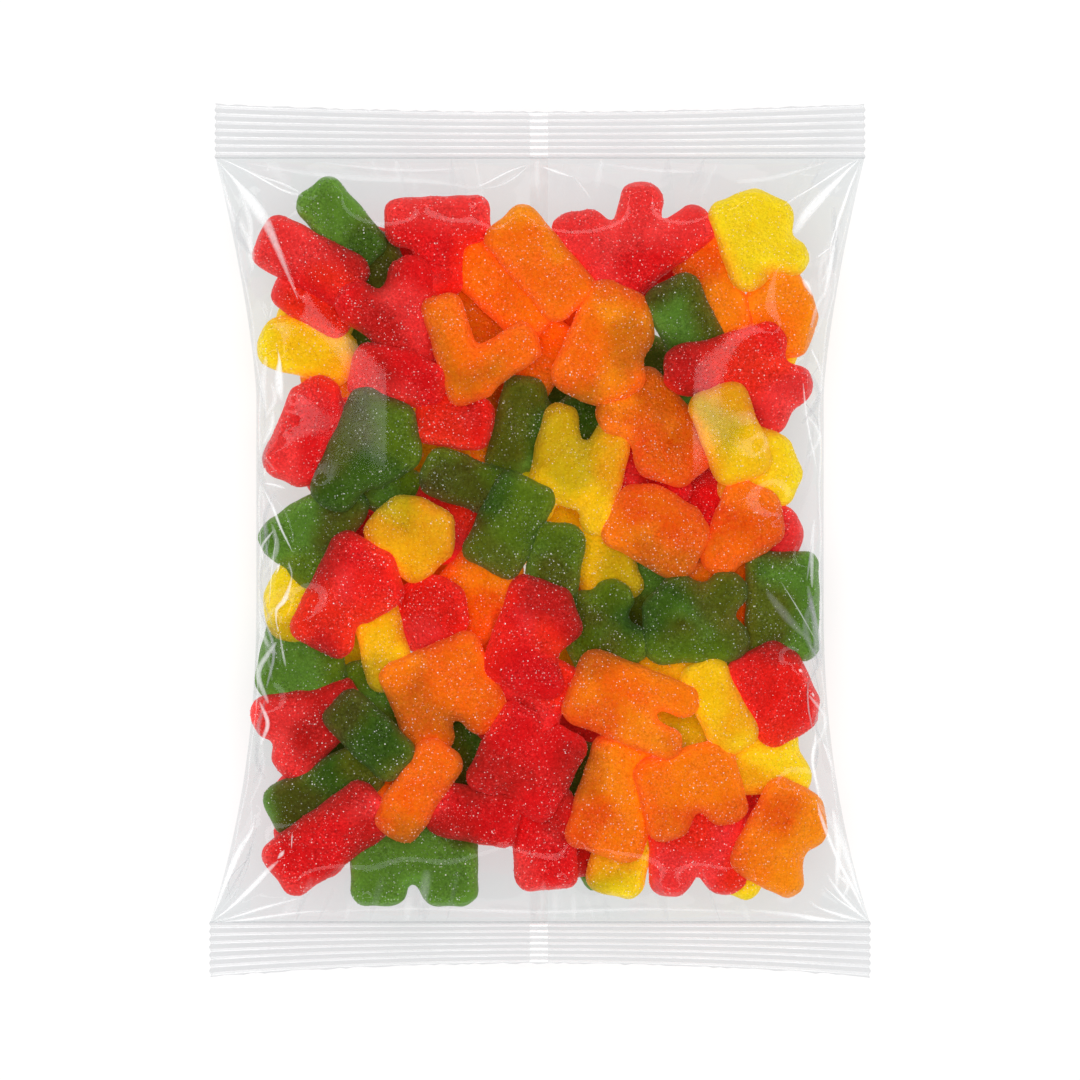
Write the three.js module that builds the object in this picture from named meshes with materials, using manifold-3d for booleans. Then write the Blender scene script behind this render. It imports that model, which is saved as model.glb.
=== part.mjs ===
import * as THREE from "three";
import { ConvexGeometry } from "three/addons/geometries/ConvexGeometry.js";
import { mergeVertices } from "three/addons/utils/BufferGeometryUtils.js";
import Module from "manifold-3d";

const wasm = await Module();
wasm.setup();

// Pillow bag lying on its back, millimetres: X across, Y along, Z from back to front.
const WAIST_WIDTH = 129;
const TOP_SEAL_WIDTH = 147.6;
const BOTTOM_SEAL_WIDTH = 150;
const TOP_FLARE_LENGTH = 54.5;
const BOTTOM_FLARE_LENGTH = 73;
const TOP_FLARE_POWER = 1.4;
const BOTTOM_FLARE_POWER = 2.2;

// Seals: distance of their inner line and cut edge from the middle of the bag.
const SEAL_LINE = 87;
const TOP_CUT = 99.1;
const TOP_SAG = 1.8;
const BOTTOM_CUT = 99.3;
const BOTTOM_SAG = 3.1;
const SEAL_THICKNESS = 0.7;
const SEAL_OVERLAP = 0.6;
const RIB_COUNT = 7;
const RIB_HEIGHT = 0.35;
const SEAL_COLUMNS = 8;

// Filled pillow: height of the seals over the table and of the film over the seals.
const MID_HEIGHT = 17.2;
const FILM_RISE = 17.5;
const CORE_DROP = 2.4;
const EDGE_HALF = 0.45;
const SIDE_POWER = 2.6;
const END_LENGTH = 36;
const END_POWER = 0.55;
const CORE_COLUMNS = 20;
const CORE_ROWS = 24;
const FLOOR_BLOCK = 400;

// Jelly letters, and how they lie against the film.
const LETTER_THICKNESS = 9;
const STROKE = 9.8;
const STROKE_SHARE = 0.72;
const DISC_SIDES = 7;
const BOTTOM_RADIUS_SHARE = 0.86;
const TOP_RADIUS_SHARE = 0.74;
const WIDEST_LEVEL = 0.1;
const MOST_SLOPE = 0.75;
const SLOPE_STEP = 1;
const LAYER_STEP = 1.6;
const MOST_LAYERS = 2;
const COVER_SHARE = 0.17;

const MERGE_DISTANCE = 1e-4;

// Each form is a set of convex strokes through points of a box one unit wide and high.
const FORMS = {
  block: [[[0, 0], [0, 1], [1, 1], [1, 0]]],
  A: [[[0, 0], [0.5, 1]], [[0.5, 1], [1, 0]], [[0.22, 0.3], [0.78, 0.3]]],
  B: [
    [[0, 0.5], [0, 1], [0.6, 1], [0.85, 0.75], [0.6, 0.5]],
    [[0, 0], [0, 0.5], [0.7, 0.5], [1, 0.25], [0.7, 0]],
  ],
  D: [[[0, 0], [0, 1], [0.7, 1], [1, 0.5], [0.7, 0]]],
  K: [[[0, 0], [0, 1]], [[0.1, 0.45], [1, 1]], [[0.1, 0.55], [1, 0]]],
  L: [[[0, 0], [0, 1]], [[0, 0], [1, 0.28]]],
  M: [[[0, 0], [0, 1]], [[0, 1], [0.5, 0.3]], [[0.5, 0.3], [1, 1]], [[1, 1], [1, 0]]],
  N: [[[0, 0], [0, 1]], [[0, 1], [1, 0]], [[1, 1], [1, 0]]],
  O: [[[0, 0.3], [0, 0.7], [0.5, 1], [1, 0.7], [1, 0.3], [0.5, 0]]],
  P: [[[0, 0], [0, 1]], [[0, 0.4], [0, 1], [0.65, 1], [1, 0.7], [0.65, 0.4]]],
  R: [
    [[0, 0], [0, 1]],
    [[0, 0.45], [0, 1], [0.65, 1], [1, 0.72], [0.65, 0.45]],
    [[0.35, 0.45], [1, 0]],
  ],
  T: [[[0, 1], [1, 1]], [[0.5, 1], [0.5, 0]]],
  U: [[[0, 1], [0.1, 0]], [[0.1, 0], [0.9, 0]], [[0.9, 0], [1, 1]]],
  V: [[[0, 1], [0.5, 0]], [[0.5, 0], [1, 1]]],
  W: [[[0, 0.62], [0.36, 0]], [[0.57, 1], [0.4, 0]], [[1, 0.68], [0.4, 0]]],
  Y: [[[0, 1], [0.5, 0.45]], [[1, 1], [0.5, 0.45]], [[0.5, 0.5], [0.5, 0]]],
  arch: [[[0, 1], [1, 1], [1, 0.55], [0, 0.55]], [[0, 1], [0, 0]], [[1, 1], [1, 0]]],
};

// Letters that show through the front: middle, turn in degrees, height and width, top ones first.
const LETTERS = [
  { form: "block", x: 0, y: 62.5, turn: 40, high: 27, wide: 14 },
  { form: "B", x: 16, y: 43.5, turn: -24, high: 27.5, wide: 20.5 },
  { form: "block", x: 43, y: 24, turn: 21, high: 22.5, wide: 14 },
  { form: "R", x: 26.5, y: 24.5, turn: -140, high: 27.5, wide: 18.5 },
  { form: "block", x: -7, y: 3.5, turn: -27, high: 23, wide: 14.5 },
  { form: "M", x: 8.5, y: 16, turn: -13, high: 27.5, wide: 21 },
  { form: "B", x: 26.5, y: 2.5, turn: 61, high: 23, wide: 18.5 },
  { form: "R", x: -0.5, y: -22, turn: -20, high: 25.5, wide: 20 },
  { form: "R", x: -42.5, y: -13.5, turn: -27, high: 27.5, wide: 20.5 },
  { form: "B", x: -28.5, y: 1.5, turn: 45, high: 19, wide: 18 },
  { form: "P", x: -38, y: 18.5, turn: -24, high: 29, wide: 21 },
  { form: "D", x: -32, y: 36.5, turn: -12, high: 13.5, wide: 22.5 },
  { form: "L", x: -12.5, y: 45, turn: 17, high: 25.5, wide: 23.5 },
  { form: "block", x: -19.5, y: 27, turn: -8, high: 12.5, wide: 18 },
  { form: "U", x: -53, y: 25, turn: 156, high: 25.5, wide: 13.5 },
  { form: "R", x: 35, y: -17.5, turn: 92, high: 24, wide: 20.5 },
  { form: "arch", x: 20.5, y: -37, turn: 68, high: 29, wide: 18 },
  { form: "block", x: 40.5, y: -37.5, turn: 28, high: 22.5, wide: 11.5 },
  { form: "B", x: 53.5, y: -34.5, turn: 27, high: 22.5, wide: 17 },
  { form: "arch", x: 34, y: -56.5, turn: 15, high: 19.5, wide: 23.5 },
  { form: "R", x: 55.5, y: -67.5, turn: -28, high: 24.5, wide: 19 },
  { form: "M", x: -3, y: -50, turn: -28, high: 22, wide: 22 },
  { form: "block", x: -27.5, y: -56.5, turn: -33, high: 24.5, wide: 11.5 },
  { form: "block", x: -48, y: -67.5, turn: -54, high: 30.5, wide: 14.5 },
  { form: "block", x: -38.5, y: -44, turn: 46, high: 22.5, wide: 11.5 },
  { form: "arch", x: -21.5, y: -35, turn: 24, high: 23.5, wide: 24.5 },
  { form: "Y", x: -31, y: 47.5, turn: 26, high: 29.5, wide: 23.5 },
  { form: "W", x: 21, y: 67.5, turn: 0, high: 27.5, wide: 37 },
  { form: "R", x: 49.5, y: 68.5, turn: 20, high: 22, wide: 19 },
  { form: "W", x: 45, y: 36.5, turn: -90, high: 34, wide: 25.5 },
  { form: "T", x: -23, y: 66.5, turn: 2, high: 22.5, wide: 24 },
  { form: "V", x: -51.5, y: -41, turn: 119, high: 25, wide: 21 },
  { form: "block", x: 32.5, y: 50, turn: 27, high: 19, wide: 13.5 },
  { form: "block", x: 39, y: 56.5, turn: 21, high: 23.5, wide: 13.5 },
  { form: "O", x: 54.5, y: 51.5, turn: 10, high: 21, wide: 16.5 },
  { form: "block", x: -52, y: 63, turn: 62, high: 26.5, wide: 13 },
  { form: "block", x: -51.5, y: 53.5, turn: 60, high: 20, wide: 9.5 },
  { form: "B", x: -52.5, y: 44, turn: 73, high: 22.5, wide: 14.5 },
  { form: "block", x: -45, y: 71.5, turn: 40, high: 22.5, wide: 12 },
  { form: "block", x: -35.5, y: -23.5, turn: 12, high: 21.5, wide: 11 },
  { form: "N", x: 55, y: -15, turn: 0, high: 25, wide: 17 },
  { form: "P", x: 46.5, y: 1.5, turn: -22, high: 22.5, wide: 16.5 },
  { form: "O", x: -25, y: -17, turn: -30, high: 18.5, wide: 17.5 },
  { form: "A", x: -50, y: 2.5, turn: -42, high: 25, wide: 20 },
  { form: "O", x: -54.5, y: -13, turn: -20, high: 21, wide: 16 },
  { form: "block", x: 3, y: -7, turn: -8, high: 22, wide: 12.5 },
  { form: "block", x: -16.5, y: 13, turn: 70, high: 21, wide: 11.5 },
  { form: "K", x: 14, y: -20, turn: 20, high: 20, wide: 18 },
  { form: "block", x: 14.5, y: -5.5, turn: 22, high: 19.5, wide: 14 },
  { form: "M", x: 1.5, y: 24, turn: -14, high: 23.5, wide: 24.5 },
  { form: "block", x: -9, y: 56.5, turn: 47, high: 27, wide: 12 },
  { form: "block", x: 17.5, y: -58.5, turn: -18, high: 26.5, wide: 18.5 },
  { form: "arch", x: 35.5, y: -70, turn: 2, high: 21, wide: 22 },
  { form: "block", x: -15, y: -62, turn: 80, high: 21, wide: 12.5 },
  { form: "block", x: 1, y: -67.5, turn: 3, high: 23.5, wide: 14.5 },
  { form: "arch", x: -28.5, y: -72.5, turn: 0, high: 21, wide: 29 },
  { form: "block", x: -49, y: -56.5, turn: -62, high: 28, wide: 12.5 },
  { form: "B", x: -53.5, y: -28, turn: -12, high: 19, wide: 21 },
  { form: "D", x: 50.5, y: 15, turn: -25, high: 20, wide: 17.5 },
  { form: "Y", x: 50.5, y: -51, turn: -70, high: 20, wide: 19 },
  { form: "block", x: 47.5, y: -73, turn: -25, high: 17.5, wide: 10 },
  { form: "block", x: 18, y: -72.5, turn: -12, high: 16.5, wide: 13.5 },
  { form: "O", x: 54, y: 1, turn: 0, high: 13.5, wide: 11.5 },
  { form: "R", x: -14, y: -11.5, turn: -40, high: 23.5, wide: 18 },
  { form: "D", x: -37.5, y: 63.5, turn: 20, high: 16, wide: 12.5 },
];

function toSolid(geometry) {
  const bare = new THREE.BufferGeometry();
  bare.setAttribute("position", geometry.getAttribute("position"));
  bare.setIndex(geometry.index);
  const merged = mergeVertices(bare, MERGE_DISTANCE);
  const mesh = new wasm.Mesh({
    numProp: 3,
    vertProperties: new Float32Array(merged.attributes.position.array),
    triVerts: new Uint32Array(merged.index.array),
  });
  return new wasm.Manifold(mesh);
}

function toGeometry(solid) {
  const mesh = solid.getMesh();
  const geometry = new THREE.BufferGeometry();
  geometry.setAttribute("position", new THREE.BufferAttribute(mesh.vertProperties, 3));
  geometry.setIndex(new THREE.BufferAttribute(mesh.triVerts, 1));
  return geometry;
}

// Half of the bag's width at a distance y above its middle.
function halfWidth(y) {
  const atTop = y > 0;
  const length = atTop ? TOP_FLARE_LENGTH : BOTTOM_FLARE_LENGTH;
  const power = atTop ? TOP_FLARE_POWER : BOTTOM_FLARE_POWER;
  const sealWidth = atTop ? TOP_SEAL_WIDTH : BOTTOM_SEAL_WIDTH;
  const near = Math.min(1, Math.max(0, 1 - (SEAL_LINE - Math.abs(y)) / length));
  return (WAIST_WIDTH + (sealWidth - WAIST_WIDTH) * near ** power) / 2;
}

// Rise of the film over the height of the seals.
function filmRise(x, y) {
  const side = Math.min(1, Math.abs(x) / halfWidth(y));
  const fromSeal = Math.min(1, Math.max(0, (SEAL_LINE - Math.abs(y)) / END_LENGTH));
  const across = Math.sqrt(1 - side ** SIDE_POWER);
  const along = (1 - (1 - fromSeal) ** 2) ** END_POWER;
  return FILM_RISE * across * along;
}

// The full body of the bag, a little under its front film, with a flat to rest on.
function pillow() {
  const core = new THREE.BoxGeometry(2, 2, 2, CORE_COLUMNS, CORE_ROWS, 1);
  const points = core.getAttribute("position");
  for (let i = 0; i < points.count; i++) {
    const y = SEAL_LINE * Math.sin((points.getY(i) * Math.PI) / 2);
    const x = halfWidth(y) * Math.sin((points.getX(i) * Math.PI) / 2);
    const rise = filmRise(x, y);
    const front = EDGE_HALF + Math.max(0, rise - CORE_DROP * (rise / FILM_RISE));
    const back = -EDGE_HALF - rise;
    points.setXYZ(i, x, y, MID_HEIGHT + (points.getZ(i) > 0 ? front : back));
  }
  const below = new THREE.BoxGeometry(FLOOR_BLOCK, FLOOR_BLOCK, FLOOR_BLOCK);
  below.translate(0, 0, -FLOOR_BLOCK / 2);
  return toSolid(core).subtract(toSolid(below));
}

// One ribbed end seal; its cut edge bows towards the filling in the middle.
function seal(direction) {
  const width = direction > 0 ? TOP_SEAL_WIDTH : BOTTOM_SEAL_WIDTH;
  const cut = direction > 0 ? TOP_CUT : BOTTOM_CUT;
  const sag = direction > 0 ? TOP_SAG : BOTTOM_SAG;
  const strip = new THREE.BoxGeometry(1, 1, SEAL_THICKNESS, SEAL_COLUMNS, 2 * RIB_COUNT, 1);
  const points = strip.getAttribute("position");
  for (let i = 0; i < points.count; i++) {
    const across = 2 * points.getX(i);
    const out = points.getY(i) * direction + 0.5;
    const bow = sag * (1 - across * across);
    const inner = SEAL_LINE - SEAL_OVERLAP;
    const y = inner + (cut - bow - inner) * out;
    const rib = RIB_HEIGHT * Math.cos(2 * Math.PI * RIB_COUNT * out);
    points.setXYZ(i, (across * width) / 2, direction * y, MID_HEIGHT + points.getZ(i) + rib);
  }
  return toSolid(strip);
}

// One convex stroke of a letter: rounded plan, widest near mid thickness, narrower top.
function stroke(corners, high, wide) {
  const thick = Math.min(STROKE, STROKE_SHARE * Math.min(high, wide));
  const levels = [
    [-LETTER_THICKNESS / 2, BOTTOM_RADIUS_SHARE],
    [LETTER_THICKNESS * WIDEST_LEVEL, 1],
    [LETTER_THICKNESS / 2, TOP_RADIUS_SHARE],
  ];
  const points = [];
  for (const [u, v] of corners) {
    const x = (u - 0.5) * (wide - thick);
    const y = (v - 0.5) * (high - thick);
    for (const [z, share] of levels) {
      for (let k = 0; k < DISC_SIDES; k++) {
        const angle = (2 * Math.PI * k) / DISC_SIDES;
        const radius = (share * thick) / 2;
        points.push(new THREE.Vector3(x + radius * Math.cos(angle), y + radius * Math.sin(angle), z));
      }
    }
  }
  return toSolid(new ConvexGeometry(points));
}

// Slope of the film along one axis, as far as a stiff letter can follow it.
function lean(x, y, alongX, alongY) {
  const ahead = filmRise(x + SLOPE_STEP * alongX, y + SLOPE_STEP * alongY);
  const behind = filmRise(x - SLOPE_STEP * alongX, y - SLOPE_STEP * alongY);
  const slope = (ahead - behind) / (2 * SLOPE_STEP);
  return Math.max(-MOST_SLOPE, Math.min(MOST_SLOPE, slope));
}

// Letters lying nearer the front push those under them down.
function layersOver(index) {
  const own = LETTERS[index];
  const covers = (other) => {
    const reach = COVER_SHARE * (own.high + own.wide + other.high + other.wide);
    return Math.hypot(other.x - own.x, other.y - own.y) < reach;
  };
  return Math.min(MOST_LAYERS, LETTERS.slice(0, index).filter(covers).length);
}

// A letter turns in its plane, then leans with the film and touches it from below.
function letter(index) {
  const { form, x, y, turn, high, wide } = LETTERS[index];
  const top = MID_HEIGHT + filmRise(x, y) - LAYER_STEP * layersOver(index);
  const place = new THREE.Matrix4().makeTranslation(x, y, top - LETTER_THICKNESS / 2);
  place.multiply(new THREE.Matrix4().makeShear(0, lean(x, y, 1, 0), 0, lean(x, y, 0, 1), 0, 0));
  place.multiply(new THREE.Matrix4().makeRotationZ(THREE.MathUtils.degToRad(turn)));
  const flat = wasm.Manifold.union(FORMS[form].map((corners) => stroke(corners, high, wide)));
  return toSolid(toGeometry(flat).applyMatrix4(place));
}

function bag() {
  const letters = LETTERS.map((_, index) => letter(index));
  const solid = wasm.Manifold.union([pillow(), seal(1), seal(-1), ...letters]);
  const material = new THREE.MeshStandardMaterial({ color: 0xe6631e, roughness: 0.45 });
  const mesh = new THREE.Mesh(toGeometry(solid), material);
  mesh.name = "bag";
  return mesh;
}

const part = new THREE.Group();
part.add(bag());

export default part;
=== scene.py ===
import math
import bpy
import numpy as np
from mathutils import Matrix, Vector


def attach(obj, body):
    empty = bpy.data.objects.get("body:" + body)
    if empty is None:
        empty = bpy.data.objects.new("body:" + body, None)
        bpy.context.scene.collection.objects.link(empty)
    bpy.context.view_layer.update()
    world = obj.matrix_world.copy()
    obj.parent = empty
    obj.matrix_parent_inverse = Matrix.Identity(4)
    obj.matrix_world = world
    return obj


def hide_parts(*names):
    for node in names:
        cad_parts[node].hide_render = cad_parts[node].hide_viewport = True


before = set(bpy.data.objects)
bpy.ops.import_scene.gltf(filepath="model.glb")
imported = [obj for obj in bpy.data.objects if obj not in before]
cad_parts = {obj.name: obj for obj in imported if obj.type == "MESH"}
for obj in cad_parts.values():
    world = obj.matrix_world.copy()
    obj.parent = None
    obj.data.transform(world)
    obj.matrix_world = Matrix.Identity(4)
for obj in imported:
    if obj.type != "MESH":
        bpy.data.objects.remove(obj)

print("sealed bag of jelly letters")
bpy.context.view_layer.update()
mm = 0.001  # everything below is worked out in millimetres, as the solid is

# X across the pack, Y up it, Z out of its front; it lies on its back on the floor
bag = {
    "waist": 129.0, "topWidth": 147.6, "bottomWidth": 150.0,
    "topFlare": 54.5, "bottomFlare": 73.0, "topCurl": 1.4, "bottomCurl": 2.2,
    "sealLine": 87.0, "midHeight": 17.2, "filmRise": 17.5,
    "sidePower": 2.6, "endLength": 36.0, "endPower": 0.55,
}


# shape of the filled bag

def halfWidth(y):
    y = np.asarray(y, float)
    top = y > 0
    flare = np.where(top, bag["topFlare"], bag["bottomFlare"])
    curl = np.where(top, bag["topCurl"], bag["bottomCurl"])
    sealWidth = np.where(top, bag["topWidth"], bag["bottomWidth"])
    near = np.clip(1 - (bag["sealLine"] - np.abs(y)) / flare, 0, 1)
    return (bag["waist"] + (sealWidth - bag["waist"]) * near ** curl) / 2


def filmRise(x, y):
    side = np.minimum(1, np.abs(x) / halfWidth(y))
    fromSeal = np.clip((bag["sealLine"] - np.abs(y)) / bag["endLength"], 0, 1)
    across = np.sqrt(1 - side ** bag["sidePower"])
    along = (1 - (1 - fromSeal) ** 2) ** bag["endPower"]
    return bag["filmRise"] * across * along


# letter shapes: bars or filled outlines in a unit box, the middles of small dents, and how round
# the corners are

letterForms = {
    "block": ([[(0, 0), (0, 1), (1, 1), (1, 0)]], [], 3.6),
    "A": ([[(0, 0), (.5, 1)], [(.5, 1), (1, 0)], [(.22, .3), (.78, .3)]], [], 3.8),
    "B": ([[(0, .5), (0, 1), (.6, 1), (.85, .75), (.6, .5)],
           [(0, 0), (0, .5), (.7, .5), (1, .25), (.7, 0)]], [(.4, .74)], 4.2),
    "flatB": ([[(0, 0), (0, 1), (.8, 1), (1, .8), (1, .2), (.8, 0)]], [(.4, .45)], 4.2),
    "D": ([[(0, 0), (0, 1), (.55, 1), (1, .65), (1, .35), (.55, 0)]], [], 4.4),
    "E": ([[(0, 0), (0, 1)], [(0, 1), (1, 1)], [(0, .5), (.85, .5)], [(0, 0), (1, 0)]], [], 3.4),
    "K": ([[(0, 0), (0, 1)], [(.1, .45), (1, 1)], [(.1, .55), (1, 0)]], [], 3.6),
    "L": ([[(0, 0), (0, 1)], [(0, 0), (1, .28)]], [], 2.8),
    "M": ([[(0, 0), (0, 1)], [(0, 1), (.5, .3)], [(.5, .3), (1, 1)], [(1, 1), (1, 0)]], [], 3.4),
    "N": ([[(0, 0), (0, 1)], [(0, 1), (1, 0)], [(1, 1), (1, 0)]], [], 3.6),
    "O": ([[(0, .35), (0, .65), (.3, 1), (.7, 1), (1, .65), (1, .35), (.7, 0), (.3, 0)]], [], 5.2),
    "P": ([[(0, 0), (0, 1)], [(0, .4), (0, 1), (.65, 1), (1, .7), (.65, .4)]], [(.42, .7)], 4.4),
    "R": ([[(0, 0), (0, 1)], [(0, .45), (0, 1), (.65, 1), (1, .72), (.65, .45)],
           [(.35, .45), (1, 0)]], [(.42, .72)], 4.2),
    "shutR": ([[(0, .45), (0, 1), (.65, 1), (1, .75), (.75, .5)],
               [(0, .5), (0, 0), (.6, 0), (.35, .5)]], [], 3.8),
    "wideR": ([[(0, .45), (0, 1), (.6, 1), (.9, .75), (.65, .5)],
               [(0, .5), (0, 0), (.95, 0), (.4, .5)]], [(.4, .74)], 3.8),
    "T": ([[(0, 1), (1, 1)], [(.5, 1), (.5, 0)]], [], 3.4),
    "U": ([[(0, 1), (0, .25)], [(0, .25), (.35, 0), (.65, 0), (1, .25)], [(1, .25), (1, 1)]], [], 4.0),
    "V": ([[(0, 1), (.5, 0)], [(.5, 0), (1, 1)]], [], 4.4),
    "fanW": ([[(0, .62), (.14, .64), (.36, 0)], [(.57, 1), (.4, 0)], [(1, .68), (.4, 0)]], [], 4.6),
    "longW": ([[(0, .75), (.35, 0)], [(.58, 1), (.4, 0)], [(1, .79), (.55, .3)]], [], 4.6),
    "Y": ([[(0, 1), (.5, .45)], [(1, 1), (.5, .45)], [(.5, .5), (.5, 0)]], [], 4.6),
    "arch": ([[(0, 1), (1, 1), (1, .42), (0, .42)], [(0, 1), (0, 0)], [(1, 1), (1, 0)]], [], 3.8),
}

letterSize = {
    "thickness": 9.2, "strokeShare": 0.72, "blend": 3.4, "edgeRound": 3.0,
    "grooveFrom": 0.9, "grooveDepth": 0.5, "mostGroove": 1.6,
    "gridStep": 0.85, "hiddenStep": 1.25, "dentDepth": 1.7, "dentRadius": 0.7,
    "uneven": 0.16, "swell": 0.26, "backSwell": 0.5,
}

# the letters seen from the front: form, colour, middle x and y, turn, height, width, stroke, shade;
# those on top come first, and the shade goes from -1, deep, to 1, bright
frontLetters = [
    ("block", "orange", 0, 62.5, 40, 27, 14, 9.1, 0.7),
    ("B", "orange", 16, 43.5, -24, 27.5, 20.5, 8.6, 0.8),
    ("block", "yellow", 43, 24, 21, 22.5, 14, 8.6, 0.2),
    ("R", "orange", 26.5, 24.5, -140, 27.5, 18.5, 9.5, -0.4),
    ("block", "green", -7, 3.5, -27, 23, 14.5, 9.5, -0.1),
    ("M", "yellow", 8.5, 16, -13, 27.5, 21, 7.5, -0.1),
    ("flatB", "orange", 26.5, 2.5, 61, 23, 17.5, 8.2, 0),
    ("wideR", "red", -0.5, -22, -20, 25.5, 20, 9.1, -0.3),
    ("shutR", "red", -42.5, -13.5, -27, 27.5, 20.5, 9.1, 0.4),
    ("B", "yellow", -28.5, 1.5, 45, 19, 18, 8.6, -0.1),
    ("P", "green", -38, 18.5, -24, 29, 21, 11.4, 0),
    ("D", "red", -32, 36.5, -12, 13.5, 22.5, 9.5, 0),
    ("L", "orange", -12.5, 45, 17, 25.5, 23.5, 9.5, 0.5),
    ("block", "red", -19.5, 27, -8, 12.5, 18, 9.1, -0.8),
    ("U", "red", -53, 25, 156, 25.5, 13.5, 7.7, 0.5),
    ("R", "green", 35, -17.5, 92, 24, 20.5, 9.5, -0.4),
    ("arch", "orange", 20.5, -37, 68, 29, 18, 7.6, 0.1),
    ("block", "yellow", 40.5, -37.5, 28, 22.5, 11.5, 10, 0.1),
    ("flatB", "red", 53.5, -34.5, 27, 22.5, 17, 9.5, -0.1),
    ("arch", "orange", 34, -56.5, 15, 19.5, 23.5, 10, 0.6),
    ("wideR", "orange", 55.5, -67.5, -28, 24.5, 19, 9.1, 0.6),
    ("M", "red", -3, -50, -28, 22, 22, 9.1, 0.1),
    ("block", "orange", -27.5, -56.5, -33, 24.5, 11.5, 10, 0.1),
    ("block", "red", -48, -67.5, -54, 30.5, 14.5, 10, 0.3),
    ("block", "green", -38.5, -44, 46, 22.5, 11.5, 10.5, -0.2),
    ("arch", "orange", -21.5, -35, 24, 23.5, 24.5, 10.9, -0.1),
    ("Y", "red", -31, 47.5, 26, 29.5, 23.5, 10.5, -0.1),
    ("fanW", "red", 21, 67.5, 0, 27.5, 37, 10, -0.1),
    ("R", "yellow", 49.5, 68.5, 20, 22, 19, 9.1, 0.4),
    ("longW", "red", 45, 36.5, -90, 34, 25.5, 9.5, -0.2),
    ("T", "red", -23, 66.5, 2, 22.5, 24, 11, 0.2),
    ("V", "red", -51.5, -41, 119, 25, 21, 10.5, -0.3),
    ("block", "green", 32.5, 50, 27, 19, 13.5, 9.1, -0.5),
    ("block", "orange", 39, 56.5, 21, 23.5, 13.5, 9.5, -0.1),
    ("O", "orange", 54.5, 51.5, 10, 21, 16.5, 9.5, 0.1),
    ("block", "red", -52, 63, 62, 26.5, 13, 10.5, 0),
    ("block", "red", -51.5, 53.5, 60, 20, 9.5, 9, -0.5),
    ("B", "yellow", -52.5, 44, 73, 22.5, 14.5, 10.5, 0.3),
    ("block", "green", -45, 71.5, 40, 22.5, 12, 11.4, 0.8),
    ("block", "yellow", -35.5, -23.5, 12, 21.5, 11, 10, -0.5),
    ("N", "green", 55, -15, 0, 25, 17, 9.5, 0.4),
    ("P", "orange", 46.5, 1.5, -22, 22.5, 16.5, 9.5, -0.6),
    ("O", "red", -25, -17, -30, 18.5, 17.5, 10, -0.9),
    ("A", "green", -50, 2.5, -42, 25, 20, 10.5, 0.3),
    ("O", "yellow", -54.5, -13, -20, 21, 16, 10, 0.9),
    ("block", "green", 3, -7, -8, 22, 12.5, 10, -0.6),
    ("block", "green", -16.5, 13, 70, 21, 11.5, 10, -0.5),
    ("K", "green", 14, -20, 20, 20, 18, 9.5, -0.7),
    ("block", "yellow", 14.5, -5.5, 22, 19.5, 14, 9.5, -0.4),
    ("M", "green", 1.5, 24, -14, 23.5, 24.5, 9.5, -0.4),
    ("block", "orange", -9, 56.5, 47, 27, 12, 11, 0.2),
    ("block", "orange", 17.5, -58.5, -18, 26.5, 18.5, 9.1, -0.2),
    ("arch", "red", 35.5, -70, 2, 21, 22, 9.6, -0.2),
    ("block", "red", -15, -62, 80, 21, 12.5, 10, -0.8),
    ("block", "red", 1, -67.5, 3, 23.5, 14.5, 10.5, -0.2),
    ("arch", "green", -28.5, -72.5, 0, 21, 29, 13, 0),
    ("block", "green", -49, -56.5, -62, 28, 12.5, 10.5, -0.1),
    ("B", "green", -53.5, -28, -12, 19, 21, 10, 0.3),
    ("D", "yellow", 50.5, 15, -25, 20, 17.5, 10, -0.3),
    ("Y", "yellow", 50.5, -51, -70, 20, 19, 10, 0.4),
    ("block", "yellow", 47.5, -73, -25, 17.5, 10, 8.6, 0.5),
    ("block", "yellow", 18, -72.5, -12, 16.5, 13.5, 9.5, -0.2),
    ("O", "red", 54, 1, 0, 13.5, 11.5, 9.1, -0.4),
    ("R", "orange", -14, -11.5, -40, 23.5, 18, 10, -0.8),
    ("T", "orange", 0, 39.5, -30, 22.5, 20.5, 10, -0.2),
    ("block", "orange", -8, 29, -10, 25, 13.5, 10, -0.3),
    ("D", "green", -37.5, 63.5, 20, 16, 12.5, 10.5, -0.9),
    ("block", "orange", -45.5, 38, 73, 17.5, 11.5, 10, 0.2),
]

# deeper letters glimpsed in the gaps: form, colour, middle x and y, turn, and a size of its own if any
deepLetters = [
    ("block", "orange", -14, 50, 20, 21, 17), ("E", "orange", 4.5, 50, 15), ("U", "red", 3, 43, 70),
    ("M", "red", 22, 16, 30), ("block", "red", 35, 9, -20), ("K", "orange", 45, -12.5, 40),
    ("O", "green", 22, -10.5, 10), ("A", "yellow", 30, -29, 80), ("T", "yellow", 35, -43.5, 20),
    ("B", "green", -35, -38, 15), ("N", "orange", -32, -50.5, 60), ("E", "red", -2.5, -37, -25),
    ("L", "red", 10, -67.5, 100), ("D", "yellow", 5, 7, 50), ("P", "orange", -16, -26.5, 150),
    ("block", "green", -18, -48, 35), ("O", "red", -19.5, 6.5, 0), ("block", "green", -33, 11, 60),
    ("U", "red", -45.5, 20, 10), ("block", "orange", -10, 64, 95),
]
deepPlan = {"height": 24, "width": 18, "blockWidth": 13, "stroke": 9.8, "shade": -0.2, "letterSeed": 300}

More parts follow.
